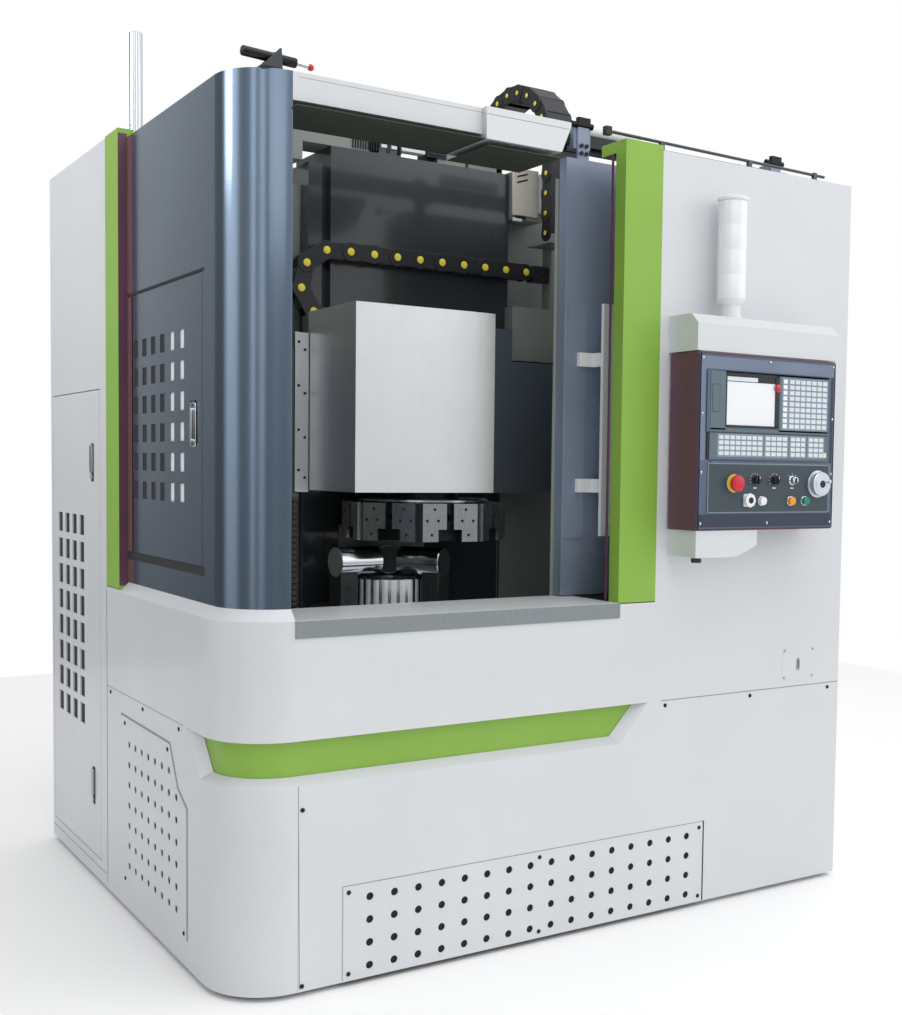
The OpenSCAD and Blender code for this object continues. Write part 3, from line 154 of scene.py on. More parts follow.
# Green enamel: the accent posts and stripe, a strong clear green with a soft shine.
greenEnamel = paint("enamel, leaf green gloss", "#8AB544", "#7FA93B", 0.45, coat=0.08)
# Metallic slate enamel: blue-grey that takes the brightness of whatever stands before it.
slateEnamel = paint("enamel, slate blue metallic", "#718293", "#647588", 0.17, peel=5,
                    height=0.14, coat=0.35, spread=0.04, metallic=0.72)
# Slate enamel of the sliding door, paler than the enclosure's: painted reflection, mostly matt, so
# it stays pale in the opening's shade.
doorSlatePaintedSheen = paint("enamel, slate blue satin", "#97A3B9", "#747F95", 0.4, peel=5, height=0.1,
                   coat=0.3, metallic=0.25)
# Dark slate enamel: the column, the trim rod and the stay's bracket, nearly black with clear
# highlights.
deepEnamel = paint("enamel, dark slate gloss", "#30363C", "#24292E", 0.26, peel=4, height=0.09,
                   coat=0.6, spread=0.03)
# Grey-green guard paint: the working space's walls, duller than the outside.
guardPaint = paint("enamel, grey green matt", "#8E9590", "#787F7B", 0.5)
# Maroon powder coat: the dark brown-red sides of the operator box; the strips by the posts are
# painted shade and reflection.
maroonCoatAndShade = paint("powder coat, dark maroon satin", "#684054", "#563548", 0.4, height=0.06)
# Brushed stainless, grain upwards: the bright head cover and the strip on the apron beside it.
brushedUp = brushed("stainless steel, brushed upwards", "#E9EAEC", "#D3D6D9", 0.36, "z")
# Slate enamel of the apron beside the head: a dull dark grey, lighter than the column's as painted
# light, so it keeps its tone in the shade.
apronSlatePaintedLight = paint("enamel, grey slate", "#59626C", "#4C555F", 0.4, peel=4, height=0.08,
                    coat=0.2)
# Galvanised sheet: the sill, a flat pale grey with only a dull shine.
sillSheet = moulded("steel sheet, galvanised", "#8A9195", "#7F868A", 0.45, 16, 0.04, 0.25)
# Ground steel: shafts, rails, chuck and turret rim, clear reflections with a fine lay.
groundSteel = brushed("tool steel, ground", "#D2D5D8", "#9FA4A9", 0.24, "z", 0.8)
# Painted cast iron: dull grey-green skin with the sand's texture.
castIron = moulded("cast iron, painted", "#5E6867", "#4B5453", 0.55, 6, 0.25)
# Blackened steel: turret body, bolts and screws, a deep oily grey.
blackSteel = moulded("steel, black oxide", "#2A2C2F", "#17191B", 0.36, 9, 0.12, 0.6)
# Black nylon: chain links and knobs, a soft sheen over a moulded grain; also the key switch's slot,
# painted shade.
blackNylonAndShade = moulded("nylon, black moulded", "#202226", "#151719", 0.42, 1.5, 0.08)
# Motor housing: black coated aluminium with a little sparkle.
motorCoat = moulded("aluminium, black coated", "#24262A", "#191B1E", 0.45, 2.5, 0.12)
# Panel face film: printed blue-grey polyester, very even and satin.
panelFilm = paint("polyester film, blue grey", "#55637A", "#4B586D", 0.42, peel=0.8, height=0.05)
# Satin aluminium: the handwheel, pale with a soft even shine.
satinAluminium = moulded("aluminium, satin", "#DFE3EB", "#CDD2DB", 0.34, 3, 0.03, 0.7)
# White powder coat of the door handle and small white parts: brighter and finer than the sheets.
handleWhite = paint("powder coat, bright white", "#F1F3F5", "#E7E9EC", 0.35, peel=2, height=0.05)
# Coloured moulded plastics of the buttons: smooth with a faint skin.
redPlastic = moulded("acetal, red", "#D22B38", "#BE2230", 0.32, 2, 0.03)
orangePlastic = moulded("acetal, orange", "#F0A020", "#E08A12", 0.3, 2, 0.03)
greenPlastic = moulded("acetal, green", "#138A74", "#0E7763", 0.3, 2, 0.03)
whitePlastic = moulded("acetal, white", "#EDEEF0", "#DADCE0", 0.32, 2, 0.03)
# Opal acrylic: the unlit signal lens, milky with a soft gloss.
opalLens = paint("acrylic, opal", "#EEF0F4", "#E3E6EB", 0.22, peel=6, height=0.02, coat=0.4)
# Screen glass: switched off; its pale colour is painted reflection of the room.
screenGlass = paint("glass over liquid crystal", "#EDEFF2", "#DDE1E6", 0.12, peel=40, height=0.01,
                    coat=0.8)
# Laminated safety glass of the door: faintly green, with the working space dark behind it.
windowGlass, _, glassShader = startMaterial("glass, laminated", "#9FB4B4", 0.0, 0.05)
glassShader.inputs["Transmission Weight"].default_value = 0.85
# Yellow acetal: the pin heads, bright and slightly glossy.
yellowPin = moulded("acetal, yellow", "#F2DF48", "#DDC83A", 0.35, 1.5, 0.05)
# Zinc plated steel: latch levers, feet and small screws, a cold grey with soft reflections.
zincSteel = moulded("steel, zinc plated", "#B9BDC0", "#9DA2A6", 0.32, 3, 0.05, 1.0)
# Printed film of the three units: grey-green, a little lighter than the carrier plate.
unitFilm = paint("polyester film, grey green", "#5A6C76", "#586A74", 0.4, peel=0.8, height=0.05)
# The panel's other films, all satin: light and navy bands of painted reflection and shade, a grey
# edge of painted highlight round dark teal.
reflectionLightFilm = paint("painted reflection, light slate", "#616C7F", "#76849B", 0.4, peel=0.8)
shadeNavyFilm = paint("painted shade, navy", "#272C43", "#363C50", 0.42, peel=0.8)
highlightEdgeFilm = paint("painted highlight, grey edge", "#7C8E97", "#6F818B", 0.4, peel=0.8)
controlFilm = paint("polyester film, dark teal", "#35424B", "#3C4952", 0.42, peel=0.8)
# Domed membrane keys: pale blue-white film with a faint sheen, on a greyer ground.
keyFilm = paint("polyester film, key white", "#DDE4EA", "#C9D3DA", 0.35, peel=1.2, height=0.05)
keyGround = paint("polyester film, key field grey", "#8C98A6", "#7C8896", 0.42, peel=0.8)
creamKey = paint("polyester film, pale yellow", "#E6E3A0", "#DAD58C", 0.35, peel=1.2)
# Satin black film round the screen; also painted shade and shadow in slots, holes, gaps and beside
# the display unit.
blackFilmAndShade = paint("polyester film and painted shade, black", "#15171B", "#1C1E22", 0.35, peel=0.8)
# Chromed brass: the bezels, the key switch and the side door's pull, small and very bright.
chrome = moulded("brass, chromed", "#E6E8EA", "#D2D5D8", 0.12, 6, 0.02, 1.0)
# Coloured caps of the panel: a plain yellow ring and a clear glossy red lamp.
yellowCollar = paint("acetal, signal yellow", "#EBD23C", "#DCC230", 0.35, peel=2)
redLamp = paint("acrylic, red", "#C3262E", "#AE1C26", 0.2, peel=2, coat=0.5)
# Polished round steel: the pipe, the stay's rod and the jaw noses, a mirror with a faint blur.
polished = moulded("steel, polished", "#D4D7DA", "#C2C6CA", 0.14, 5, 0.02, 1.0)
# Burnished steel: the jaws' blocks and the apron's bolts, nearly black with a sheen.
burnished = moulded("steel, burnished", "#3A3E40", "#2A2D2F", 0.42, 4, 0.1, 0.6)
# Hub sleeve's sheen: painted reflection, nearly white, so the ribs show in the shade of the jaws.
sleevePaintedSheen = moulded("painted sheen, near white", "#F0F1F6", "#D6D9E2", 0.28, 6, 0.03, 0.3)
# Painted shade: a black that gives hardly any light back, for gaps between sheets, holes and
# recesses, and a grey for the seams.
gapShadeBlack = moulded("painted shade, black", "#101214", "#16181A", 0.75, 2, 0.1)
seamShadeGrey = moulded("painted seam shade, grey", "#8C9499", "#7F878C", 0.6, 2, 0.05)
# Faded maroon: painted shade and reflection beside the rear post, on the sheet and on the door's
# hinge edge.
maroonPaintedShade = moulded("painted shade, faded maroon", "#6E4148", "#5E3A44", 0.5, 3, 0.05)
# Coats seen through the opening: a warm cream box; dark olive under the beam and the header,
# painted shade; and a bright strip on the sill's top, painted light.
creamCoat = moulded("powder coat, cream", "#CBC8BE", "#BFBCB2", 0.5, 2, 0.05)
beamShadeOlive = moulded("painted shade, dark olive", "#3C4238", "#30352D", 0.5, 5, 0.06)
sillTopLight = moulded("painted light, bright sheet", "#EDEFF1", "#DDE0E3", 0.35, 9, 0.03, 0.2)
print("materials ready")

finishes = {
    whiteCoat: ["lower_skirt", "front_vent_panel", "side_vent_panel", "upper_band", "right_panel",
                "top_beam", "rear_panels", "cabinet_shell", "cabinet_door", "pendant_mounts"],
    greenEnamel: ["accent_stripe", "corner_posts"],
    slateEnamel: ["left_enclosure", "side_door"],
    doorSlatePaintedSheen: ["front_door"],
    deepEnamel: ["column"],
    apronSlatePaintedLight: ["head_apron"],
    guardPaint: ["inner_guards"],
    maroonCoatAndShade: ["pendant_box"],
    panelFilm: ["control_face"],
    brushedUp: ["head_cover"],
    sillSheet: ["sill"],
    groundSteel: ["x_rails", "x_screw", "z_screw", "spindle_shaft", "chuck_body", "jaw_1", "jaw_2",
                  "jaw_3", "tool_plates", "leveling_feet", "latch_upper", "latch_lower",
                  "key_switch"],
    satinAluminium: ["handwheel"],
    castIron: ["base_casting", "spindle_housing", "saddle", "ram"],
    blackSteel: ["turret_disc", "turret_housing"],
    blackNylonAndShade: ["riser_chain", "x_chain", "mode_knob", "override_knob", "panel_screws",
                 "door_rail", "roof_fittings"],
    motorCoat: ["spindle_motor", "x_servo", "z_servo"],
    handleWhite: ["door_handle"],
    redPlastic: ["emergency_stop"],
    orangePlastic: ["button_orange"],
    greenPlastic: ["button_green"],
    whitePlastic: ["button_white"],
    opalLens: ["signal_light"],
    screenGlass: ["screen"],
    windowGlass: ["door_window"],
}
# Every frame node gets its finish and a small bevel, as handled edges have.
wornEdges = {"width": 1.2, "segments": 2, "angle": 35}
for material, names in finishes.items():
    for name in names:
        thing = nodes[name]
        thing.data.materials.clear()
        thing.data.materials.append(material)
        soften = thing.modifiers.new("worn edges", "BEVEL")
        soften.width = wornEdges["width"] * mm
        soften.segments = wornEdges["segments"]
        soften.limit_method = "ANGLE"
        soften.angle_limit = math.radians(wornEdges["angle"])
        soften.use_clamp_overlap = True
print("frame nodes finished")


# Building helpers. Places and outlines are metres of the frame; thicknesses, radii and turned
# profiles are millimetres.
toRight, toBack, upwards = (1, 0, 0), (0, 1, 0), (0, 0, 1)
frontFace, leftFace = (0, -1, 0), (-1, 0, 0)


def corners(node):
    low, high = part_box(node)
    return Vector(low), Vector(high)


def middleOf(node):
    low, high = corners(node)
    return (low + high) / 2


# Boxes of the separate solids of a CAD node, sorted, each as lowest and highest corner.
def islands(node):
    mesh = bmesh.new()
    mesh.from_mesh(nodes[node].data)
    bmesh.ops.remove_doubles(mesh, verts=mesh.verts, dist=1e-5)
    left, found = set(mesh.verts), []
    while left:
        reached, queue = set(), [left.pop()]
        while queue:
            point = queue.pop()
            reached.add(point)
            for edge in point.link_edges:
                other = edge.other_vert(point)
                if other in left:
                    left.remove(other)
                    queue.append(other)
        spans = [[p.co[i] for p in reached] for i in range(3)]
        found.append((Vector([min(s) for s in spans]), Vector([max(s) for s in spans])))
    mesh.free()
    return sorted(found, key=lambda pair: tuple(round(v, 4) for v in pair[0]))


def addBox(mesh, low, high):
    low, high = Vector(low), Vector(high)
    size = high - low
    place = Matrix.Translation((low + high) / 2) @ Matrix.Diagonal((*size, 1))
    bmesh.ops.create_cube(mesh, size=1, matrix=place)


def addRod(mesh, start, end, radius, sides=28):
    start, end = Vector(start), Vector(end)
    turn = (end - start).to_track_quat("Z", "Y").to_matrix().to_4x4()
    place = Matrix.Translation((start + end) / 2) @ turn
    bmesh.ops.create_cone(mesh, cap_ends=True, segments=sides, radius1=radius * mm,
                          radius2=radius * mm, depth=(end - start).length, matrix=place)


# Outline: points (u, v) in the plane of the vectors across and up, pushed out along push.
def addPrism(mesh, outline, origin, across, up, push):
    origin, across, up, push = (Vector(v) for v in (origin, across, up, push))
    base = [mesh.verts.new(origin + across * u + up * v) for u, v in outline]
    top = [mesh.verts.new(p.co + push) for p in base]
    mesh.faces.new(base)
    mesh.faces.new(top[::-1])
    for i, point in enumerate(base):
        after = (i + 1) % len(base)
        mesh.faces.new((base[after], point, top[i], top[after]))


# Turns a profile of (radius, height) pairs in millimetres round an axis from origin.
def addTurned(mesh, profile, origin, axis, sides):
    turn = Vector(axis).to_track_quat("Z", "Y").to_matrix()
    rings = []
    for radius, height in profile:
        ring = []
        for k in range(sides):
            angle = 2 * math.pi * k / sides
            spot = Vector((radius * math.cos(angle), radius * math.sin(angle), height)) * mm
            ring.append(mesh.verts.new(Vector(origin) + turn @ spot))
        rings.append(ring)
    for a, b in zip(rings, rings[1:]):
        for k in range(sides):
            after = (k + 1) % sides
            mesh.faces.new((a[k], a[after], b[after], b[k]))
    mesh.faces.new(rings[0][::-1])
    mesh.faces.new(rings[-1])


def roundedOutline(width, height, radius, steps=5):
    points = []
    for cx, cy, start in ((width - radius, radius, -90), (width - radius, height - radius, 0),
                          (radius, height - radius, 90), (radius, radius, 180)):
        for k in range(steps + 1):
            angle = math.radians(start + 90 * k / steps)
            points.append((cx + radius * math.cos(angle), cy + radius * math.sin(angle)))
    return points


# Outline of a fluted round: two points on the top of each rib and two in the groove after it.
def flutedOutline(ribs, outer, inner):
    points = []
    for k in range(ribs * 4):
        reach = outer if k % 4 < 2 else inner
        angle = 2 * math.pi * k / (ribs * 4)
        points.append((reach * math.cos(angle), reach * math.sin(angle)))
    return points


def scaled(points):
    return [(u * mm, v * mm) for u, v in points]


# Rounded plate on a sheet: its lowest corner, the sheet's outward face and how far it stands out.
def addPad(mesh, width, height, radius, corner, face, thick):
    across = toRight if face == frontFace else toBack
    addPrism(mesh, scaled(roundedOutline(width, height, radius)), corner, across, upwards,
             Vector(face) * thick * mm)


# Each piece: its own mesh with a finish, smooth rounds and, where soft isn't 0, bevelled edges.
pieceEdges = {"segments": 2, "bevelFrom": 40, "sharpFrom": 38}


def makePiece(name, mesh, material, body, soft=0):
    bmesh.ops.recalc_face_normals(mesh, faces=mesh.faces)
    data = bpy.data.meshes.new(name)
    mesh.to_mesh(data)
    mesh.free()
    thing = bpy.data.objects.new(name, data)
    bpy.context.scene.collection.objects.link(thing)
    data.materials.append(material)
    if soft:
        edge = thing.modifiers.new("soft edges", "BEVEL")
        edge.width = soft * mm
        edge.segments = pieceEdges["segments"]
        edge.limit_method = "ANGLE"
        edge.angle_limit = math.radians(pieceEdges["bevelFrom"])
    for face in data.polygons:
        face.use_smooth = True
    data.set_sharp_from_angle(angle=math.radians(pieceEdges["sharpFrom"]))
    if body:
        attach(thing, body)
    return thing


def makeTurned(name, material, body, profile, origin, axis, sides, soft=0):
    mesh = bmesh.new()
    addTurned(mesh, profile, origin, axis, sides)
    return makePiece(name, mesh, material, body, soft)


# A place on the machine in millimetres: across from its middle, back from its front, up from its
# foot.
skirtLow, skirtHigh = corners("lower_skirt")
zero = Vector(((skirtLow.x + skirtHigh.x) / 2, skirtLow.y, skirtLow.z))
halfWidth = (skirtHigh.x - skirtLow.x) / 2 / mm


def at(x, y, z):
    return zero + Vector((x, y, z)) * mm


def measured(node):
    low, high = corners(node)
    return (low - zero) / mm, (high - zero) / mm


# Each block is three spans: across, back and up.
def addBlocks(mesh, *blocks):
    for x, y, z in blocks:
        addBox(mesh, at(x[0], y[0], z[0]), at(x[1], y[1], z[1]))


def makeBlocks(name, material, body, slot, soft, *blocks):
    mesh = bmesh.new()
    addBlocks(mesh, *blocks)
    return makePiece(name, mesh, material, body, soft)


# Cable chain of the cross slide: side plates, cross bars and yellow pins along a U path.
# The pins are the nodes of the path; each link lies on the chord between two pins.
chainLook = {"pitch": 85.7, "first": 102, "half": 31, "plate": 5, "pin": 12.5, "rim": 17,
             "waist": 0.86, "bar": 9, "tail": 90}


# A link's side: half rounds about its two pins and a narrower waist between them.
def linkOutline(pitch, half):
    waist = half * chainLook["waist"]
    points = []
    for end, first, waistEdge in ((0, 90, -waist), (pitch, -90, waist * 1.06)):
        for k in range(9):
            angle = math.radians(first + 22.5 * k)
            points.append((end + half * math.cos(angle), half * math.sin(angle)))
        shares = (0.7, 0.3) if end else (0.3, 0.7)
        points += [(pitch * share, waistEdge) for share in shares]
    return points


# spots: pin centres; side: unit vector across the chain; half: half of the link's height.
def buildChain(name, spots, side, width, half, body, pin, rim):
    dark, bright, rims = bmesh.new(), bmesh.new(), bmesh.new()
    side = Vector(side)
    plate = chainLook["plate"] * mm
    for k, (a, b) in enumerate(zip(spots, spots[1:])):
        along = (b - a).normalized()
        up = side.cross(along)
        pitch = (b - a).length
        inset = 0.0 if k % 2 else plate * 0.55
        outline = linkOutline(pitch, half - (0.0 if k % 2 else 1.2 * mm))
        for end in (-1, 1):
            face = a + side * end * (width / 2 - inset)
            addPrism(dark, outline, face, along, up, side * -end * plate)
        bar = chainLook["bar"] * mm
        for level in (-1, 1):
            middle = a + along * pitch * 0.5 + up * level * (half * 0.84)
            ends = [middle - side * (width / 2 - plate), middle + side * (width / 2 - plate)]
            barOutline = [(-pitch * 0.24, -bar / 4), (pitch * 0.24, -bar / 4),
                          (pitch * 0.2, bar / 4), (-pitch * 0.2, bar / 4)]
            addPrism(dark, barOutline, ends[0], along, up, ends[1] - ends[0])
    for spot in spots[:-1]:
        for end in (-1, 1):
            face = spot + side * end * (width / 2)
            addRod(rims, face - side * end * 2 * mm, face + side * end * 0.6 * mm, rim)
            addTurned(bright, [(pin, -2), (pin, 1.2), (pin * 0.8, 2.4)], face, side * end, 20)
    return [makePiece(name + "Links", dark, blackNylonAndShade, body, 0.8),
            makePiece(name + "Rims", rims, blackNylonAndShade, body),
            makePiece(name + "Pins", bright, yellowPin, body)]


low, high = corners("x_chain")
chainHalf = chainLook["half"] * mm
chainY = (low.y + high.y) / 2
bendRadius = (high.z - low.z) / 2 - chainHalf
bendZ = (high.z + low.z) / 2
bendX = low.x + bendRadius + chainHalf
fixX = high.x
topRun = fixX - bendX
spots = []
travelled = chainLook["first"] * mm
arcLength = math.pi * bendRadius
while travelled < topRun + arcLength + chainLook["tail"] * mm:
    if travelled < topRun:
        spots.append(Vector((fixX - travelled, chainY, bendZ + bendRadius)))
    elif travelled < topRun + arcLength:
        angle = math.pi / 2 + (travelled - topRun) / bendRadius
        spots.append(Vector((bendX + bendRadius * math.cos(angle), chainY,
                             bendZ + bendRadius * math.sin(angle))))
    else:
        spots.append(Vector((bendX + travelled - topRun - arcLength, chainY, bendZ - bendRadius)))
    travelled += chainLook["pitch"] * mm
xChain = buildChain("crossChain", spots, toBack, high.y - low.y, chainHalf, None,
                    chainLook["pin"], chainLook["rim"])
for piece in xChain:
    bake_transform(piece)
endBlock = bmesh.new()
addBox(endBlock, (fixX - 72 * mm, low.y + 2 * mm, high.z - 60 * mm),
       (fixX - 2 * mm, high.y - 2 * mm, high.z - 4 * mm))
for k in range(3):
    boltX, boltZ = fixX - (16 + 20 * k) * mm, high.z - (14 + 17 * k) * mm
    addRod(endBlock, (boltX, low.y - 2 * mm, boltZ), (boltX, low.y + 4 * mm, boltZ), 5, 12)
xChain.append(makePiece("crossChainEnd", endBlock, blackNylonAndShade, "frame", 2))
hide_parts("x_chain")

# Riser chain over the roof: a wide chain with lids, bent in the plane across the machine.
low, high = corners("riser_chain")
riserLook = {"pitch": 70, "pin": 8.5, "rim": 13, "foot": 30}
riserMiddle, riserWidth = (low.x + high.x) / 2, high.x - low.x
legY = [low.y + chainHalf, high.y - chainHalf]
riserRadius = (legY[1] - legY[0]) / 2
riserY = sum(legY) / 2
riserTop = high.z - chainHalf - riserRadius
spots = []
pitch = riserLook["pitch"] * mm
level = low.z + chainHalf
while level < riserTop:
    spots.append(Vector((riserMiddle, legY[0], level)))
    level += pitch
angle = math.pi - (level - riserTop) / riserRadius
while angle > 0:
    spots.append(Vector((riserMiddle, riserY + riserRadius * math.cos(angle),
                         riserTop + riserRadius * math.sin(angle))))
    angle -= pitch / riserRadius
shelf = corners("rear_panels")[1].z
level = riserTop + riserRadius * angle
while level > shelf + riserLook["foot"] * mm:
    spots.append(Vector((riserMiddle, legY[1], level)))
    level -= pitch
riser = buildChain("riserChain", spots, toRight, riserWidth, chainHalf, "frame",
                   riserLook["pin"], riserLook["rim"])
# A snap-on lid closes each link on its outer side.
lids = bmesh.new()
lidInset = 4 * mm
for a, b in zip(spots, spots[1:]):
    along = (b - a).normalized()
    out = Vector(toRight).cross(along)
    length = (b - a).length / mm
    start = a + out * (chainHalf - lidInset) - Vector((riserWidth / 2 - lidInset, 0, 0))
    addPrism(lids, scaled([(-4, 0), (length + 3, 0), (length + 1, 3.2), (-1, 3.6)]), start, along,
             out, (riserWidth - 2 * lidInset, 0, 0))
riser.append(makePiece("riserChainLids", lids, blackNylonAndShade, "frame", 1))
# Foot block that holds the rear leg's last link on the shelf behind the roof.
riserFoot = bmesh.new()
footEdge, footSide = 6 * mm, 7 * mm
addBox(riserFoot, (low.x + footSide, legY[1] - chainHalf + footEdge, shelf + 0.5 * mm),
       (high.x - footSide, legY[1] + chainHalf - footEdge, spots[-1].z + 4 * mm))
riser.append(makePiece("riserChainFoot", riserFoot, blackNylonAndShade, "frame", 2))
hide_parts("riser_chain")
print("chains ready")

# Operator panel: overlays, keys, rings and marks on the control face.
faceLow = corners("control_face")[0]
screenLow, screenHigh = corners("screen")
plateFront = screenLow.y + 3 * mm
panelLeft = faceLow.x - 4 * mm
panelFloor = faceLow.z - 6 * mm


# A point on the operator panel: millimetres from its lower left corner, out from its plate.
def onPanel(x, z, out):
    return Vector((panelLeft + x * mm, plateFront - out * mm, panelFloor + z * mm))


def spotOf(place):
    return (place.x - panelLeft) / mm, (place.z - panelFloor) / mm


# Rounded plate on the panel from one corner to the other, between two heights off the plate.
def addPlate(mesh, x0, z0, x1, z1, out0, out1, radius):
    addPad(mesh, x1 - x0, z1 - z0, radius, onPanel(x0, z0, out0), frontFace, out1 - out0)


def makePlates(name, material, soft, *plates):
    mesh = bmesh.new()
    for plate in plates:
        addPlate(mesh, *plate)
    return makePiece(name, mesh, material, "frame", soft)


# The frame's round controls: lowest and highest corner, middle, and radius in millimetres.
def roundControl(node):
    low, high = corners(node)
    return low, high, (low + high) / 2, (high.x - low.x) / 2 / mm


# Stem of a control, from a depth behind its front to the back of its node.
def addStem(mesh, node, inset, sides):
    low, high, middle, radius = roundControl(node)
    addRod(mesh, (middle.x, low.y + inset * mm, middle.z), (middle.x, high.y, middle.z), 8, sides)


glassLeft, glassFoot = spotOf(screenLow)
glassRight, glassTop = spotOf(screenHigh)
makePlates("panelUnits", unitFilm, 0.5, (43, 307, 552, 317, 5, 6.2, 3),
           (43, 312, glassLeft - 4, 492, 5, 6.2, 3),
           (glassLeft - 6, glassTop + 6, 550, 492, 5, 6.2, 3),
           (glassRight + 16, 312, 550, 488, 5, 6.2, 3), (43, 221, 552, 303, 3, 4, 3))
# Films of the carrier plate: a light band on top and down the left, painted reflection, and a navy
# one below and down the right, painted shade.
makePlates("panelLightBands", reflectionLightFilm, 0.3, (8, 497, 578, 537, 0, 1, 3),
           (8, 216, 28, 500, 0, 0.9, 3))
makePlates("panelNavyBands", shadeNavyFilm, 0.3, (8, 11, 578, 50, 0, 1, 3),
           (568, 52, 578, 500, 0, 0.9, 2))
# A paler edge round the control unit: painted highlight of its bevel.
makePlates("controlBorder", highlightEdgeFilm, 0.6, (40, 54, 566, 210, 0.5, 3.3, 4))
makePlates("controlFilm", controlFilm, 0, (43.5, 57.5, 562, 206.5, 3, 3.6, 3))
# Black film round the screen; the strip down the left of the display unit is painted shadow.
makePlates("screenSurround", blackFilmAndShade, 0.6,
           (glassLeft - 6, glassFoot - 7, glassRight + 17, glassFoot - 0.5, 5, 6.6, 2),
           (glassLeft - 6, glassTop + 0.5, glassRight + 17, glassTop + 6, 5, 6.6, 2),
           (glassLeft - 6, glassFoot - 4, glassLeft - 0.5, glassTop + 4, 5, 6.6, 2),
           (glassRight + 0.5, glassFoot - 4, glassRight + 17, glassTop + 4, 5, 6.6, 2),
           (glassLeft - 1, glassTop - 21, glassRight + 1, glassTop + 1, 3.1, 4.2, 1),
           (33, 219, 42.5, 493, 0.5, 3.4, 2))
# Carrier plate's raised rim along its top and foot, with a hairline down each side.
makePlates("panelTrim", panelFilm, 0.4, (6, 2, 6, 546, 0, 1.6, 1.2),
           (584, 6, 584, 542, 0, 1.6, 1.2), (8, 538, 584, 542, 0, 1.6, 1.2),
           (8, 6, 584, 10, 0, 1.6, 1.2))
# Card slot: a cover of the same film inside a thin dark line of painted shade.
makePlates("cardSlotLine", blackFilmAndShade, 0, (49, 366, 80, 452, 6, 6.4, 4))
makePlates("cardSlotCover", unitFilm, 0.3, (50.4, 367.4, 78.6, 450.6, 6.1, 7, 3))

# Keys: columns and rows of domed rectangles, each field as (x, z, width, height, columns, rows).
keyFields = {"soft": (344, 322, 22, 160, 1, 9), "main": (372, 322, 172, 160, 7, 9),
             "left": (78, 232, 186, 66, 8, 4), "middle": (274, 232, 98, 66, 4, 4),
             "axis": (384, 232, 68, 66, 3, 4), "feed": (464, 232, 70, 66, 3, 4)}
keyLook = {"gap": 0.14, "edge": 3, "upperUnit": 6.2, "lowerUnit": 4, "field": 0.5, "top": 1.6}
fields, keys, softKeys = bmesh.new(), bmesh.new(), bmesh.new()
for name, (x, z, width, height, columns, rows) in keyFields.items():
    base = keyLook["upperUnit" if name in ("soft", "main") else "lowerUnit"]
    edge = keyLook["edge"]
    addPlate(fields, x - edge, z - edge, x + width + edge, z + height + edge, base,
             base + keyLook["field"], edge)
    stepX, stepZ = width / columns, height / rows
    gap = keyLook["gap"] * min(stepX, stepZ)
    target = softKeys if name == "soft" else keys
    for i in range(columns):
        for j in range(rows):
            keyX, keyZ = x + i * stepX, z + j * stepZ
            addPlate(target, keyX + gap, keyZ + gap, keyX + stepX - gap, keyZ + stepZ - gap,
                     base + 0.3, base + keyLook["top"], 2)
makePiece("keyFields", fields, keyGround, "frame", 0.3)
makePiece("membraneKeys", keys, keyFilm, "frame", 0.5)
makePiece("softKeys", softKeys, handleWhite, "frame", 0.5)

# Marks: a strip under the screen's top, and a fan of ticks with a word bar round each knob.
tickLook = {"reach": 21, "length": 4.4, "width": 1.6, "bar": (14, 4), "barDrop": 27}
tickFans = {"mode_knob": (9, 220), "override_knob": (9, 240), "key_switch": (3, 90)}
marks = bmesh.new()
addPlate(marks, glassLeft + 1, glassTop - 19, glassLeft + 128, glassTop - 6, 4.1, 4.7, 1)
for node, (count, sweep) in tickFans.items():
    x, z = spotOf(middleOf(node))
    for k in range(count):
        angle = math.radians(90 - sweep / 2 + sweep * k / (count - 1))
        reach = tickLook["reach"]
        tick = onPanel(x + reach * math.cos(angle), z + reach * math.sin(angle), 3.6)
        radial = Vector((math.cos(angle), 0, math.sin(angle)))
        across = Vector((-math.sin(angle), 0, math.cos(angle)))
        u, v = tickLook["length"] / 2, tickLook["width"] / 2
        addPrism(marks, scaled([(-u, -v), (u, -v), (u, v), (-u, v)]), tick, radial, across,
                 (0, -0.5 * mm, 0))
    width, height = tickLook["bar"]
    barFoot = z - tickLook["barDrop"]
    addPlate(marks, x - width / 2, barFoot, x + width / 2, barFoot + height, 3.5, 4.1, 1)
makePiece("panelMarks", marks, keyFilm, "frame")

yellowKey = bmesh.new()
addPlate(yellowKey, 533, 233, 548, 249, 4, 5.2, 2)
makePiece("yellowKey", yellowKey, creamKey, "frame", 0.4)
makeTurned("statusLamp", redLamp, "frame",
           [(12.5, 0), (12.5, 3), (9.5, 4.8), (4, 5.8)],
           onPanel(glassRight + 7, glassTop - 34, 6.4), frontFace, 32)

# Small screws round the carrier plate, none in the middle of its face.
plateScrews = {"head": 4.2, "columns": [14, 292, 574], "rows": [22, 180, 360, 530]}
heads = bmesh.new()
radius = plateScrews["head"]
for column, x in enumerate(plateScrews["columns"]):
    for row, z in enumerate(plateScrews["rows"]):
        if column == 1 and row in (1, 2):
            continue
        addTurned(heads, [(radius, 0), (radius, 1.2), (radius * 0.6, 2)], onPanel(x, z, 1.4),
                  frontFace, 16)
makePiece("panelPlateScrews", heads, chrome, "frame")

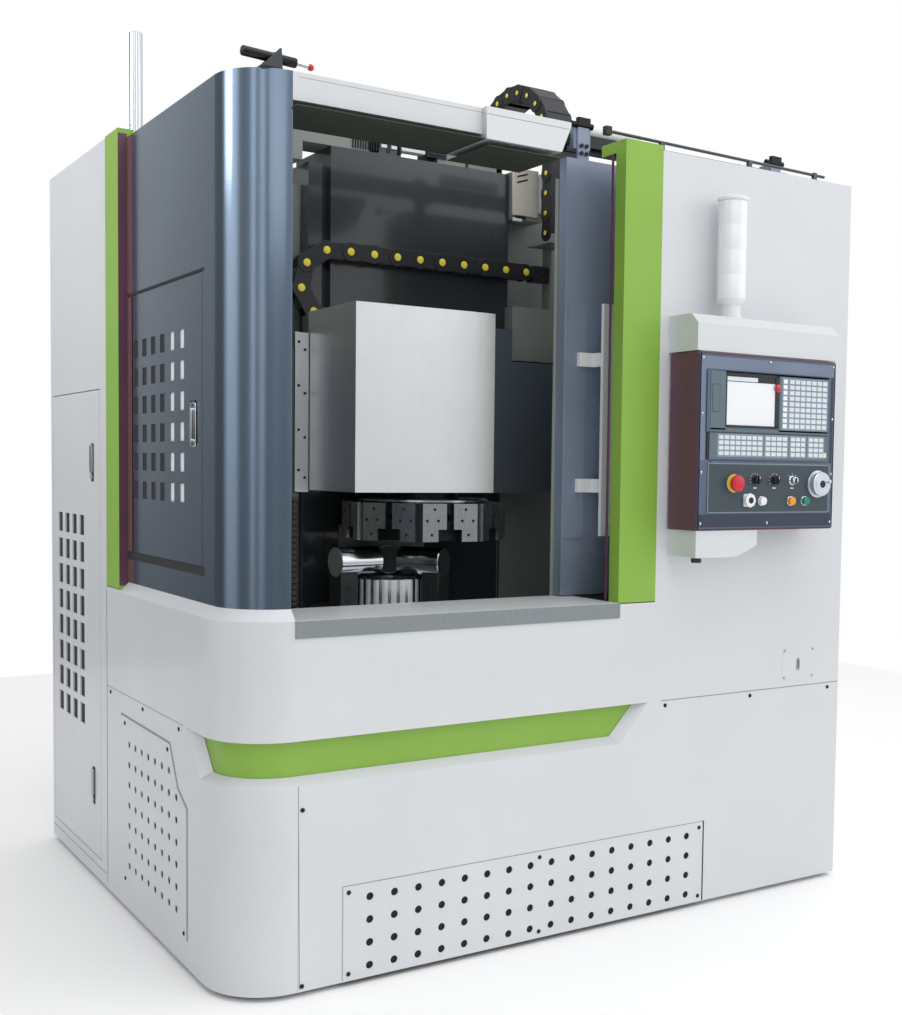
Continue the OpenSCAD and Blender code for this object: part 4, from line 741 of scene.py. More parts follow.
# Emergency stop: yellow collar and a mushroom head with a rolled rim.
low, high, middle, radius = roundControl("emergency_stop")
stopLook = {"collar": [(28, 0), (28, 3.2), (26, 4.2), (16, 4.2)], "height": 29.2,
            "head": [(0.5, 10.4), (0.56, 11.6), (0.93, 13.8), (1, 17), (1, 21), (0.95, 25),
                     (0.8, 27.2), (0.4, 28.5), (0.1, 28.8)]}
makeTurned("stopCollar", yellowCollar, "frame", stopLook["collar"],
           onPanel(*spotOf(middle), 3.2), frontFace, 48)
head = bmesh.new()
addTurned(head, [(radius * share, height) for share, height in stopLook["head"]],
          (middle.x, low.y + stopLook["height"] * mm, middle.z), frontFace, 48)
addStem(head, "emergency_stop", 18, 24)
stopHead = makePiece("stopHead", head, redPlastic, "emergency_stop")
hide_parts("emergency_stop")

# Bezels of the buttons and of the key switch.
bezels = bmesh.new()
for name in ("button_white", "button_orange", "button_green", "key_switch"):
    low, high, middle, radius = roundControl(name)
    addTurned(bezels, [(radius + 3.5, 0), (radius + 3.5, 2.5), (radius + 2.2, 4.2),
                       (radius + 0.6, 4.2)], onPanel(*spotOf(middle), 3.4), frontFace, 36)
makePiece("controlBezels", bezels, chrome, "frame")

# Key switch: a chromed barrel with a dark slot of painted shade.
low, high, middle, radius = roundControl("key_switch")
barrel = bmesh.new()
addTurned(barrel, [(radius, 0), (radius, 12), (radius * 0.86, 16), (radius * 0.5, 16.5)],
          (middle.x, low.y + 21.2 * mm, middle.z), frontFace, 36)
addStem(barrel, "key_switch", 20, 20)
barrelPiece = makePiece("keyBarrel", barrel, chrome, "key_switch")
slotLook = {"width": 3.2, "height": 16, "from": 0.8, "to": 6}
keySlot = bmesh.new()
halfSlot = Vector((slotLook["width"] / 2, 0, slotLook["height"] / 2)) * mm
slotMiddle = Vector((middle.x, low.y, middle.z))
addBox(keySlot, slotMiddle - halfSlot + Vector((0, slotLook["from"] * mm, 0)),
       slotMiddle + halfSlot + Vector((0, slotLook["to"] * mm, 0)))
makePiece("keySlot", keySlot, blackNylonAndShade, "key_switch", 0.4)
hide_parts("key_switch")

# Turn knobs: a fluted skirt under a narrow ridge, with a white pointer line.
knobLook = {"ribs": 12, "groove": 0.94, "ridge": 3.2, "ridgeDepth": 6, "skirt": 15}
for name in ("mode_knob", "override_knob"):
    low, high, middle, radius = roundControl(name)
    skirt = bmesh.new()
    points = flutedOutline(knobLook["ribs"], radius, radius * knobLook["groove"])
    addPrism(skirt, scaled(points), (middle.x, low.y + 5 * mm, middle.z), toRight, upwards,
             (0, knobLook["skirt"] * mm, 0))
    ridge, reach = knobLook["ridge"] * mm, radius * 0.96 * mm
    addBox(skirt, (middle.x - ridge, low.y, middle.z - reach),
           (middle.x + ridge, low.y + knobLook["ridgeDepth"] * mm, middle.z + reach))
    addStem(skirt, name, 20, 20)
    knobPiece = makePiece(name + "Fluted", skirt, blackNylonAndShade, name, 0.6)
    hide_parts(name)
    pointer = bmesh.new()
    addBox(pointer, (middle.x - 1 * mm, low.y - 0.2 * mm, middle.z + radius * 0.3 * mm),
           (middle.x + 1 * mm, low.y + 1 * mm, middle.z + radius * 0.92 * mm))
    makePiece(name + "Pointer", pointer, whitePlastic, name)

# Handwheel: a graduated flange, and a satin dished wheel with its crank and a black centre.
low, high, middle, radius = roundControl("handwheel")
wheelSpot = spotOf(middle)
wheelLook = {"graduations": 50, "long": 4.5, "short": 2.8, "line": 0.6,
             "flange": [(1.1, 0), (1.1, 3), (1.05, 4.5), (0.7, 4.5)],
             "dish": [(0.5, 6), (0.55, 12), (0.9, 13), (0.97, 14.5), (0.97, 22.5), (0.93, 24.5),
                      (0.72, 24.5), (0.7, 26.2), (0.34, 26.2)],
             "crank": [(7.2, 0), (7.2, 4), (6, 7), (6.6, 16), (5.8, 18.8), (3, 19.8)]}
makeTurned("wheelFlange", satinAluminium, "frame",
           [(radius * share, height) for share, height in wheelLook["flange"]],
           onPanel(*wheelSpot, 3.4), frontFace, 56)
graduations = bmesh.new()
for k in range(wheelLook["graduations"]):
    angle = 2 * math.pi * k / wheelLook["graduations"]
    radial = Vector((math.cos(angle), 0, math.sin(angle)))
    across = Vector((-math.sin(angle), 0, math.cos(angle)))
    length = wheelLook["short" if k % 5 else "long"]
    spot = onPanel(*wheelSpot, 7.7) + radial * (radius * 1.04 - length) * mm
    v = wheelLook["line"] / 2
    addPrism(graduations, scaled([(0, -v), (length, -v), (length, v), (0, v)]), spot, radial,
             across, (0, -0.5 * mm, 0))
makePiece("wheelGraduations", graduations, blackFilmAndShade, "frame")
wheel = bmesh.new()
addTurned(wheel, [(radius * share, height) for share, height in wheelLook["dish"]],
          (middle.x, onPanel(0, 0, 3).y, middle.z), frontFace, 56)
makeTurned("wheelCentre", blackNylonAndShade, "handwheel",
           [(radius * 0.3, 0), (radius * 0.3, 0.8), (radius * 0.22, 1.2)],
           (middle.x, onPanel(0, 0, 29).y, middle.z), frontFace, 36)
crank = middle + Vector((0.52, 0, 0.2)) * radius * mm
addTurned(wheel, wheelLook["crank"], (crank.x, low.y + 20 * mm, crank.z), frontFace, 24)
addStem(wheel, "handwheel", 30, 24)
wheelPiece = makePiece("handwheelDish", wheel, satinAluminium, "handwheel")
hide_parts("handwheel")

# Round data socket with its square flange and four screws.
socket = {"x": 208, "z": 94, "flange": 20, "screws": 15, "front": 18.3, "hole": 10}
x, z = socket["x"], socket["z"]
port = bmesh.new()
edge = socket["flange"]
addPlate(port, x - edge, z - edge, x + edge, z + edge, 3.4, 6.5, 6)
addTurned(port, [(22.5, 0), (22.5, 11.4), (20, 13.4), (9, 13.4)], onPanel(x, z, 5), frontFace, 8)
for dx in (-socket["screws"], socket["screws"]):
    for dz in (-socket["screws"], socket["screws"]):
        addTurned(port, [(3, 0), (3, 2), (1.6, 2.6)], onPanel(x + dx, z + dz, 6.2), frontFace, 14)
makePiece("dataSocket", port, whitePlastic, "frame", 0.5)
# Its hole is a black disc of painted shade.
makeTurned("dataSocketHole", blackFilmAndShade, "frame",
           [(socket["hole"], 0), (socket["hole"], 0.6)], onPanel(x, z, socket["front"]),
           frontFace, 28)

# Clamp knob under the panel's foot.
mountLow = corners("pendant_mounts")[0]
makeTurned("footClamp", blackNylonAndShade, "frame",
           [(15.3, 0), (16, 2), (16, 13), (13, 16.2)],
           mountLow + Vector((31, 24, -0.2)) * mm, upwards, 32)
print("operator panel ready")

# Sheet metal bent to an open path (x, y) of centre points, standing between two heights.
def addFolded(mesh, path, thick, z0, z1):
    leftSide, rightSide = [], []
    for k, (x, y) in enumerate(path):
        before = Vector(path[max(k - 1, 0)])
        after = Vector(path[min(k + 1, len(path) - 1)])
        along = (after - before).normalized()
        across = Vector((-along.y, along.x)) * thick / 2
        leftSide.append((x + across.x, y + across.y))
        rightSide.append((x - across.x, y - across.y))
    addSlab(mesh, leftSide + rightSide[::-1], z0, z1)


# A level slab with an outline (x, y) between two heights.
def addSlab(mesh, outline, z0, z1):
    addPrism(mesh, scaled(outline), at(0, 0, z0), toRight, toBack, (0, 0, (z1 - z0) * mm))


# Places on a bolt circle round a centre, from a first angle in degrees.
def boltCircle(centre, radius, count, first):
    places = []
    for k in range(count):
        angle = math.radians(first + 360 * k / count)
        places.append(centre + Vector((math.cos(angle), math.sin(angle), 0)) * radius * mm)
    return places


# Exhaust pipe: a polished tube with a flange at its foot and an open end.
stayBox, pipeBox = islands("roof_fittings")[:2]
pipeLook = {"flange": 33, "flangeHeight": 6, "wall": 2.4, "depth": 40}
axis = (pipeBox[0] + pipeBox[1]) / 2
radius = (pipeBox[1].x - pipeBox[0].x) / 2 / mm
tall = (pipeBox[1].z - pipeBox[0].z) / mm
bore = radius - pipeLook["wall"]
flange, flangeTop = pipeLook["flange"], pipeLook["flangeHeight"]
pipe = makeTurned("exhaustPipe", polished, "frame",
                  [(flange, 0), (flange, flangeTop), (radius, flangeTop + 1), (radius, tall - 1),
                   (radius - 0.8, tall), (bore, tall), (bore, tall - pipeLook["depth"])],
                  (axis.x, axis.y, pipeBox[0].z), upwards, 48)
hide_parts("roof_fittings")

# Gas stay laid down in its bracket, with a bright rod and a red end ball.
stayLook = {"barrel": 13, "length": 150, "rod": 5, "ball": 9, "back": 60, "tilt": -0.045}
stayLeft, stayRight = ((corner - zero).x / mm for corner in stayBox)
radius, length, back = stayLook["barrel"], stayLook["length"], stayLook["back"]
makeTurned("stayBarrel", blackSteel, "frame",
           [(9, 0), (12.4, 2.5), (radius, 6), (radius, length - 4), (12, length - 1), (7, length)],
           at(stayLeft + 2, back, 2466), (0.999, 0, stayLook["tilt"]), 36)
rod = bmesh.new()
addRod(rod, at(stayLeft + length, back, 2459.5), at(stayRight - 12, back, 2456.5),
       stayLook["rod"])
makePiece("stayRod", rod, polished, "frame")
ball = bmesh.new()
bmesh.ops.create_uvsphere(ball, u_segments=24, v_segments=16, radius=stayLook["ball"] * mm,
                          matrix=Matrix.Translation(at(stayRight - 9, back, 2456)))
makePiece("stayBall", ball, redPlastic, "frame")
bracketLook = {"outline": [(-1010, 2429), (-950, 2429), (-953, 2484), (-958, 2484)],
               "sheet": 4, "cheeks": (39, 76)}
bracket = bmesh.new()
for y in bracketLook["cheeks"]:
    addPrism(bracket, scaled(bracketLook["outline"]), at(0, y, 0), toRight, upwards,
             (0, bracketLook["sheet"] * mm, 0))
addBlocks(bracket, ((-1010, -950), (39, 80), (2430, 2433.5)))
makePiece("stayBracket", bracket, deepEnamel, "frame", 0.8)

# Round trim along the right panel's top, with its feet and a clamp.
trimLook = {"start": (76, 2437), "end": (1012, 2424), "back": 36, "radius": 5,
            "feet": (292, 660, 958), "foot": 16}
trimRod = bmesh.new()
startX, startZ = trimLook["start"]
endX, endZ = trimLook["end"]
addRod(trimRod, at(startX, trimLook["back"], startZ), at(endX, trimLook["back"], endZ),
       trimLook["radius"], 20)
addBlocks(trimRod, *[((x, x + trimLook["foot"]), (30, 42), (2400, 2432))
                     for x in trimLook["feet"]])
makePiece("panelTrimRod", trimRod, deepEnamel, "frame", 0.6)
makeBlocks("trimRodClamp", blackNylonAndShade, "frame", "black_plastic", 1,
           ((78, 100), (26, 46), (2424, 2450)))
makeBlocks("panelTrimFeet", zincSteel, "frame", "machined_steel", 0.5,
           ((292, 308), (30, 60), (2400, 2403)), ((940, 984), (30, 60), (2400, 2403)))

# Door damper: a white cylinder along the rail behind the hanger, with its end collar and feet.
damperLook = {"left": 196, "length": 253, "radius": 22, "back": 352, "height": 2522,
              "collar": 236, "feet": (214, 420), "foot": 18}
left, length, back, height = (damperLook[key] for key in ("left", "length", "back", "height"))
radius, collarX = damperLook["radius"], damperLook["collar"]
damper = bmesh.new()
addTurned(damper, [(radius - 4, 0), (radius, 3), (radius, length - 3), (radius - 4, length)],
          at(left, back, height), toRight, 36)
addTurned(damper, [(radius + 2, 0), (radius + 2, 14)], at(collarX, back, height), toRight, 36)
addBlocks(damper, *[((x, x + damperLook["foot"]), (back - 22, back + 10), (2486, height))
                    for x in damperLook["feet"]])
makePiece("doorDamper", damper, whitePlastic, "frame", 0.8)

# Black rollers and nuts on top of the two hangers of the front door.
hangerLook = {"places": (134, 973), "roller": 10, "nut": 7, "nutRows": (2420, 2444),
              "nutColumns": (12, 32)}
rollers = bmesh.new()
for x in hangerLook["places"]:
    addBlocks(rollers, ((x - 2, x + 46), (251, 266), (2506, 2533)))
    addRod(rollers, at(x - 22, 262, 2510), at(x + 60, 262, 2510), hangerLook["roller"], 24)
    for z in hangerLook["nutRows"]:
        for dx in hangerLook["nutColumns"]:
            addRod(rollers, at(x + dx, 253, z), at(x + dx, 248, z), hangerLook["nut"], 6)
makePiece("hangerRollers", rollers, blackSteel, "front_door", 0.8)

# Head cover: brushed sheets folded round the head, the right end of the front bent back.
low, high = measured("head_cover")
coverLook = {"sheet": 3, "bend": 84, "back": 6}
cover = bmesh.new()
foldX = high.x - coverLook["bend"]


# Path of the cover's sheet, a little inside its box on every side.
def coverPath(inset, backInset):
    return [(low.x + inset, high.y - backInset), (low.x + inset, low.y + inset),
            (foldX, low.y + inset), (high.x - inset, low.y + coverLook["back"]),
            (high.x - inset, high.y - backInset)]


addFolded(cover, coverPath(coverLook["sheet"] / 2, 0), coverLook["sheet"], low.z, high.z)
for z0, z1 in ((low.z + 2, low.z + 5), (high.z - 4, high.z - 1)):
    addSlab(cover, coverPath(1, 1), z0, z1)
coverPiece = makePiece("headCoverSheets", cover, brushedUp, "ram", 0.8)
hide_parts("head_cover")

# Jaws: burnished blocks that carry polished round noses.
jawAngles = {"jaw_1": 184.4, "jaw_2": 304.4, "jaw_3": 64.4}
jawLook = {"nose": 48, "noseLength": 150, "boltReach": 167, "boltSide": 37, "bolt": 9,
           "boltHeights": (990, 1030)}
hubMiddle = middleOf("chuck_body")


def onAxis(z):
    return Vector((hubMiddle.x, hubMiddle.y, zero.z + z * mm))


for name, angle in jawAngles.items():
    angle = math.radians(angle)
    radial = Vector((math.cos(angle), math.sin(angle), 0))
    across = Vector((-radial.y, radial.x, 0))
    radius, length = jawLook["nose"], jawLook["noseLength"]
    noseLevel = (corners(name)[1].z - zero.z) / mm - radius
    start = onAxis(noseLevel) + radial * radius * mm
    makeTurned(name + "Nose", polished, name,
               [(radius - 2.5, 0.3), (radius - 0.2, 2.6), (radius - 0.2, length - 2.5),
                (radius - 2.6, length - 0.2)], start, radial, 64)
    cap = bmesh.new()
    addRod(cap, start - radial * 0.2 * mm, start + radial * 0.6 * mm, radius - 3.2, 48)
    makePiece(name + "NoseEnd", cap, burnished, name)
    # Block, its step and its neck: nearest and farthest from the axis, width, and two heights.
    steel = bmesh.new()
    for inner, outer, width, z0, z1 in ((137, 197, 74, 960.6, noseLevel - 20),
                                        (136, 234, 43, 942, 959.8),
                                        (124, 178, 30, 1060, noseLevel)):
        corner = onAxis(z0) + (radial * inner - across * width / 2) * mm
        addPrism(steel, scaled([(0, 0), (outer - inner, 0), (outer - inner, width), (0, width)]),
                 corner, radial, across, (0, 0, (z1 - z0) * mm))
    for side in (-1, 1):
        for z in jawLook["boltHeights"]:
            spot = onAxis(z) + (radial * jawLook["boltReach"]
                                + across * side * jawLook["boltSide"]) * mm
            addRod(steel, spot, spot + across * side * 3 * mm, jawLook["bolt"], 6)
    blockPiece = makePiece(name + "Block", steel, burnished, name, 1.2)
    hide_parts(name)

# Turret: a bright rim under the disc, and dark bolts.
rimLook = {"outer": 210, "inner": 150, "thick": 12.5, "height": 1298.2}
boltLook = {"circle": 180, "count": 8, "first": 11, "radius": 8, "foot": 1309, "top": 1313.4}
centre = middleOf("turret_disc")
inner, outer = rimLook["inner"], rimLook["outer"]
makeTurned("turretRim", groundSteel, "turret",
           [(inner, 0), (outer - 4, 0), (outer, 3), (outer, 9), (outer - 5, 12),
            (inner, rimLook["thick"])],
           (centre.x, centre.y, at(0, 0, rimLook["height"]).z), upwards, 72)
boltHeads = bmesh.new()
centre.z = at(0, 0, boltLook["foot"]).z
tall = Vector((0, 0, boltLook["top"] - boltLook["foot"])) * mm
for spot in boltCircle(centre, boltLook["circle"], boltLook["count"], boltLook["first"]):
    addRod(boltHeads, spot, spot + tall, boltLook["radius"], 6)
makePiece("turretBolts", boltHeads, blackSteel, "turret")

# Hub: socket heads round its rim, and a fluted sleeve whose ribs stand as bright upright lines of
# painted reflection.
hubLook = {"top": 1055, "circle": 101, "count": 12, "first": 15,
           "bolt": [(8.4, 0), (8.4, 5.6), (7.4, 6.8), (4.2, 6.8), (4.2, 4.5)]}
hubBolts = bmesh.new()
for spot in boltCircle(onAxis(hubLook["top"]), hubLook["circle"], hubLook["count"],
                       hubLook["first"]):
    addTurned(hubBolts, hubLook["bolt"], spot, upwards, 18)
makePiece("hubBolts", hubBolts, blackSteel, "spindle")
sleeveLook = {"ribs": 26, "low": 962, "below": 1.5, "outer": 118.6, "inner": 116.4}
sleeve = bmesh.new()
sleeveHeight = hubLook["top"] - sleeveLook["low"] - sleeveLook["below"]
addPrism(sleeve, scaled(flutedOutline(sleeveLook["ribs"], sleeveLook["outer"],
                                      sleeveLook["inner"])),
         onAxis(sleeveLook["low"]), toRight, toBack, (0, 0, sleeveHeight * mm))
makePiece("hubSleeve", sleeve, sleevePaintedSheen, "spindle", 0.4)

# Column top: the pump's finned motor, terminal boxes with lids, and the drive's lids.
finLook = {"first": -392, "pitch": 9.4, "count": 11, "thick": 3.4}
finPlaces = [finLook["first"] + finLook["pitch"] * k for k in range(finLook["count"])]
makeBlocks("coolingFins", motorCoat, "frame", "motor_case", 0.5,
           *[((x, x + finLook["thick"]), (804, 836), (2466, 2524)) for x in finPlaces],
           ((-396, -294), (836, 905), (2466, 2524)), ((-396, -290), (806, 836), (2520, 2525)))
makeBlocks("terminalBoxes", whitePlastic, "frame", "white_plastic", 1.5,
           ((-284, -262), (812, 850), (2484, 2522)), ((-246, -224), (812, 850), (2484, 2514)),
           ((-208, -116), (812, 850), (2484, 2516)), ((-284, -224), (830, 850), (2508, 2518)))
makeBlocks("terminalPads", blackNylonAndShade, "frame", "black_plastic", 1,
           ((-262, -246), (818, 842), (2470, 2512)), ((-216, -209), (808, 846), (2470, 2500)))
makeBlocks("driveLids", motorCoat, "frame", "motor_case", 1.2,
           ((-112, -34), (808, 880), (2478, 2512)), ((-104, -42), (804, 810), (2486, 2506)))
print("head, chuck and roof fittings ready")

# Flat strip on a sheet: from one place to another, its width, the sheet's outward face and how
# far it stands out.
def addStrip(mesh, start, end, width, face, thick):
    start, end, face = at(*start), at(*end), Vector(face)
    along = (end - start).normalized()
    across = face.cross(along)
    half = width / 2 * mm
    length = (end - start).length
    addPrism(mesh, [(0, -half), (length, -half), (length, half), (0, half)], start, along, across,
             face * thick * mm)


def makeStrips(name, material, body, slot, *strips):
    mesh = bmesh.new()
    for strip in strips:
        addStrip(mesh, *strip)
    return makePiece(name, mesh, material, body)


# Seams between the sheets, and the pressed edge of the side vent panel as (back, up) corners: grey
# strips of painted shade.
seamLook = {"fine": 2.2, "band": 2.8, "pressed": 4, "cabinet": 3, "beam": 1.6}
pressedEdge = [(964, 78), (964, 614), (470, 610), (397, 493), (318, 453), (318, 78)]
fine, beam = seamLook["fine"], seamLook["beam"]
makeStrips("sheetSeams", seamShadeGrey, "frame", "white_sheet",
           ((-911, 0, 8), (-916, 0, 560), fine, frontFace, 0.4),
           ((-786, 0, 4), (-786, 0, 266), fine, frontFace, 0.4),
           ((-787, 0, 266), (500, 0, 266), fine, frontFace, 0.4),
           ((312, 0, 680), (halfWidth - 1, 0, 680), seamLook["band"], frontFace, 0.4),
           ((-halfWidth, 1129, 680), (-halfWidth, 352, 680), fine, leftFace, 0.4),
           *[((-halfWidth, *a), (-halfWidth, *b), seamLook["pressed"], leftFace, 1)
             for a, b in zip(pressedEdge, pressedEdge[1:])],
           ((-halfWidth, 1876, 44), (-halfWidth, 1150, 44), seamLook["cabinet"], leftFace, 0.4),
           ((-922, 4, 2409), (-358, 4, 2409), beam, frontFace, 0.3),
           ((-354, 4, 2409), (-74, 4, 2409), beam, frontFace, 0.3))
# Black strips of painted shade in the gaps round the doors and the cabinet.
makeStrips("doorGaps", gapShadeBlack, "frame", "black_plastic",
           ((500.5, 0, 2), (500.5, 0, 268), 5, frontFace, 0.4),
           ((-1080, 268, 1117), (-1080, 984, 1117), 24, leftFace, 0.8),
           ((-1080, 268, 1936), (-1080, 984, 1936), 8, leftFace, 0.8),
           ((-halfWidth, 1130.2, 20), (-halfWidth, 1130.2, 1000), 2.4, leftFace, 0.5))

# Maroon strips beside the green posts, and faded ones on the sheet and the door beside the rear
# post: painted shade and reflection.
makeStrips("postShadeStrips", maroonCoatAndShade, "frame", "green_sheet",
           ((-1095, 985, 1020), (-1095, 985, 2440), 28, frontFace, 0.8),
           ((135, 66, 1006), (135, 66, 2380), 12, leftFace, 0.8))
makeStrips("edgeShadeStrip", maroonPaintedShade, "frame", "slate_sheet",
           ((-1080, 958, 1942), (-1080, 958, 2428), 46, leftFace, 0.6),
           ((-1080, 958, 1032), (-1080, 958, 1104), 46, leftFace, 0.6))
makeStrips("doorShadeStrip", maroonPaintedShade, "side_door", "slate_sheet",
           ((-1082, 954, 1131), (-1082, 954, 1929), 38, leftFace, 0.4))

# Dark backs of the louvres and of the perforated panels: black sheets of painted shade behind the
# holes.
makeBlocks("ventBacks", gapShadeBlack, "frame", "black_plastic", 0,
           ((-1106, -1104), (340, 944), (92, 590)), ((-712, 470), (5, 7), (10, 240)))
makeBlocks("louvreBacks", gapShadeBlack, "cabinet_door", "black_plastic", 0,
           ((-1105, -1103), (1412, 1778), (496, 1232)))
makeBlocks("slotBacks", gapShadeBlack, "side_door", "black_plastic", 0,
           ((-1078, -1076), (600, 925), (1296, 1800)))
makeBlocks("slotBaffle", handleWhite, "side_door", "white_plastic", 0,
           ((-1076, -1074), (430, 598), (1296, 1800)))

# Pull of the side door: a chromed tray with a grip, two screws and the shade beside the grip.
pullLook = {"tray": (50, 122, 10), "grip": (16, 92, 7), "screws": (1466, 1572), "screw": 4,
            "shades": (334, 363), "shade": 5}
pull = bmesh.new()
addPad(pull, *pullLook["tray"], at(-1081.5, 326, 1458), leftFace, 3)
addPad(pull, *pullLook["grip"], at(-1084, 343, 1473), leftFace, 7)
makePiece("sidePull", pull, chrome, "side_door", 1)
pullMarks = bmesh.new()
for z in pullLook["screws"]:
    addRod(pullMarks, at(-1084, 351, z), at(-1085.6, 351, z), pullLook["screw"], 16)
addBlocks(pullMarks, *[((-1085, -1083), (y, y + pullLook["shade"]), (1478, 1562))
                       for y in pullLook["shades"]])
makePiece("sidePullShadow", pullMarks, blackFilmAndShade, "side_door")

# Cabinet latches: a pale steel lever in a dark pocket of painted shade, turning on a round boss.
latchLook = {"pocket": (30, 128, 4), "lever": (22, 92, 3), "back": 1283, "bossDrop": 106,
             "boss": 9, "spindle": 8}
for name in ("latch_upper", "latch_lower"):
    top = measured(name)[1].z
    back, bossZ = latchLook["back"], top - latchLook["bossDrop"]
    bossY = back + latchLook["pocket"][0] / 2
    pocket, lever = bmesh.new(), bmesh.new()
    addPad(pocket, *latchLook["pocket"], at(-halfWidth, back, top - 122), leftFace, 1)
    makePiece(name + "Pocket", pocket, gapShadeBlack, "cabinet_door")
    addPad(lever, *latchLook["lever"], at(-halfWidth - 1.5, back + 3.5, top - 92), leftFace, 7)
    addRod(lever, at(-halfWidth - 0.5, bossY, bossZ), at(-halfWidth - 6, bossY, bossZ),
           latchLook["boss"], 28)
    addRod(lever, at(-halfWidth + 20, bossY, bossZ), at(-halfWidth - 2, bossY, bossZ),
           latchLook["spindle"], 20)
    leverPiece = makePiece(name + "Lever", lever, zincSteel, name, 0.8)
    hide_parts(name)

# Service plate low on the right sheet: four screws and a key slot, its black painted shade.
serviceLook = {"plate": (152, 112, 4), "slot": (16, 44, 8), "columns": (848, 980),
               "rows": (711, 804), "screw": [(5, 0), (5, 1.4), (3, 2.4)]}
service = bmesh.new()
addPad(service, *serviceLook["plate"], at(838, 0.2, 701), frontFace, 0.8)
makePiece("servicePlate", service, whiteCoat, "frame", 0.3)
plateScrew = bmesh.new()
for x in serviceLook["columns"]:
    for z in serviceLook["rows"]:
        addTurned(plateScrew, serviceLook["screw"], at(x, -0.5, z), frontFace, 18)
addPad(plateScrew, *serviceLook["slot"], at(904, -0.5, 733), frontFace, 1.2)
makePiece("serviceScrews", plateScrew, zincSteel, "frame", 0.3)
makeBlocks("serviceSlit", blackFilmAndShade, "frame", "black_plastic", 0,
           ((910.5, 913.5), (-2.4, -1.4), (741, 769)))

# Panel screws: domed heads with a dark hexagon socket, its black painted shade.
heads, sockets = bmesh.new(), bmesh.new()
for low, high in islands("panel_screws"):
    size = high - low
    face = Vector(leftFace if size.x < size.y else frontFace)
    radius = max(size) / 2 / mm
    back = (low + high) / 2 - face * min(size) / 2
    addTurned(heads, [(radius, 0), (radius, 1.2), (radius * 0.8, 2.6), (radius * 0.5, 3)], back,
              face, 24)
    addTurned(sockets, [(radius * 0.42, 0), (radius * 0.42, 0.3)], back + face * 2.9 * mm, face, 6)
screwHeads = makePiece("panelScrewHeads", heads, blackSteel, "frame")
makePiece("panelScrewSockets", sockets, gapShadeBlack, "frame")
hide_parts("panel_screws")

# Signal light: base with its stem, ribbed opal lens, and cap.
low, high = measured("signal_light")
lightLook = {"ribs": 4, "lens": 45.6, "waist": 45, "end": 44, "capHeight": 18, "baseHeight": 58,
             "base": [(34, 0), (34, 8), (31, 10), (31, 42), (43, 50), (47, 58)],
             "cap": [(47, 0), (50, 3), (50, 9), (40, 15), (18, 17)]}
centre = ((low.x + high.x) / 2, (low.y + high.y) / 2)
lensFoot, capFoot = low.z + lightLook["baseHeight"], high.z - lightLook["capHeight"]
base = bmesh.new()
addTurned(base, lightLook["base"], at(*centre, low.z), upwards, 56)
addTurned(base, lightLook["cap"], at(*centre, capFoot), upwards, 56)
lightPiece = makePiece("signalBase", base, whitePlastic, "frame")
lensHeight = capFoot - lensFoot
profile = [(lightLook["end"], 0)]
for k in range(lightLook["ribs"]):
    z0, z1 = (lensHeight * edge / lightLook["ribs"] for edge in (k, k + 1))
    profile += [(lightLook["waist"], z0 + 1), (lightLook["lens"], z0 + 5),
                (lightLook["lens"], z1 - 5), (lightLook["waist"], z1 - 1)]
profile.append((lightLook["end"], lensHeight))
makeTurned("signalLens", opalLens, "frame", profile, at(*centre, lensFoot), upwards, 64)
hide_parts("signal_light")

# Drive box on the back wall: cream housing with two slots, a white edge strip and its bracket.
makeBlocks("driveHousing", creamCoat, "frame", "guard_sheet", 3,
           ((222, 332), (782, 792), (2316, 2484)))
makeBlocks("driveStrip", handleWhite, "frame", "white_plastic", 2,
           ((333, 349), (780, 792), (2334, 2474)), ((226, 262), (780, 792), (2296, 2308)))
# The two slots and the bar under the housing are black film as painted shade.
driveSlots = bmesh.new()
for z in (2430, 2450):
    addPrism(driveSlots, scaled([(0, 0), (44, 14), (44, 20), (0, 6)]), at(240, 782, z), toRight,
             upwards, (0, -1 * mm, 0))
addBlocks(driveSlots, ((232, 276), (779, 784), (2306, 2316)))
makePiece("driveSlots", driveSlots, blackFilmAndShade, "frame")

# Head apron: a brushed strip down its inner edge with two staggered rows of bolts.
apronFront = measured("head_apron")[0].y
apronLook = {"rows": (1372, 1500, 1640, 1778), "columns": {-628: 24, -607: 0},
             "bolt": [(4.5, 0), (4.5, 2.6), (3, 3.4)]}
makeBlocks("apronStrip", brushedUp, "ram", "stainless", 0.4,
           ((-640, -594), (apronFront - 1.6, apronFront + 0.5), (1326, 1832)))
apronBolts = bmesh.new()
for z in apronLook["rows"]:
    for x, raised in apronLook["columns"].items():
        addTurned(apronBolts, apronLook["bolt"], at(x, apronFront - 1.5, z + raised),
                  frontFace, 16)
makePiece("apronBolts", apronBolts, burnished, "ram")

# Dark olive sheets under the front beam and under the header box, over the opening: painted shade.
makeBlocks("beamUndersideShade", beamShadeOlive, "frame", "guard_sheet", 0.4,
           ((-926, -357), (6, 238), (2338.6, 2341)), ((-352, -98), (6, 238), (2321.6, 2324)))
# Painted light on the sill: a bright sheet on its top face, lighter than the front.
low, high = measured("sill")
makeBlocks("sillTopPaintedLight", sillTopLight, "frame", "stainless", 0.2,
           ((low.x + 3, high.x - 3), (low.y + 2, high.y - 2), (high.z - 0.2, high.z + 0.6)))

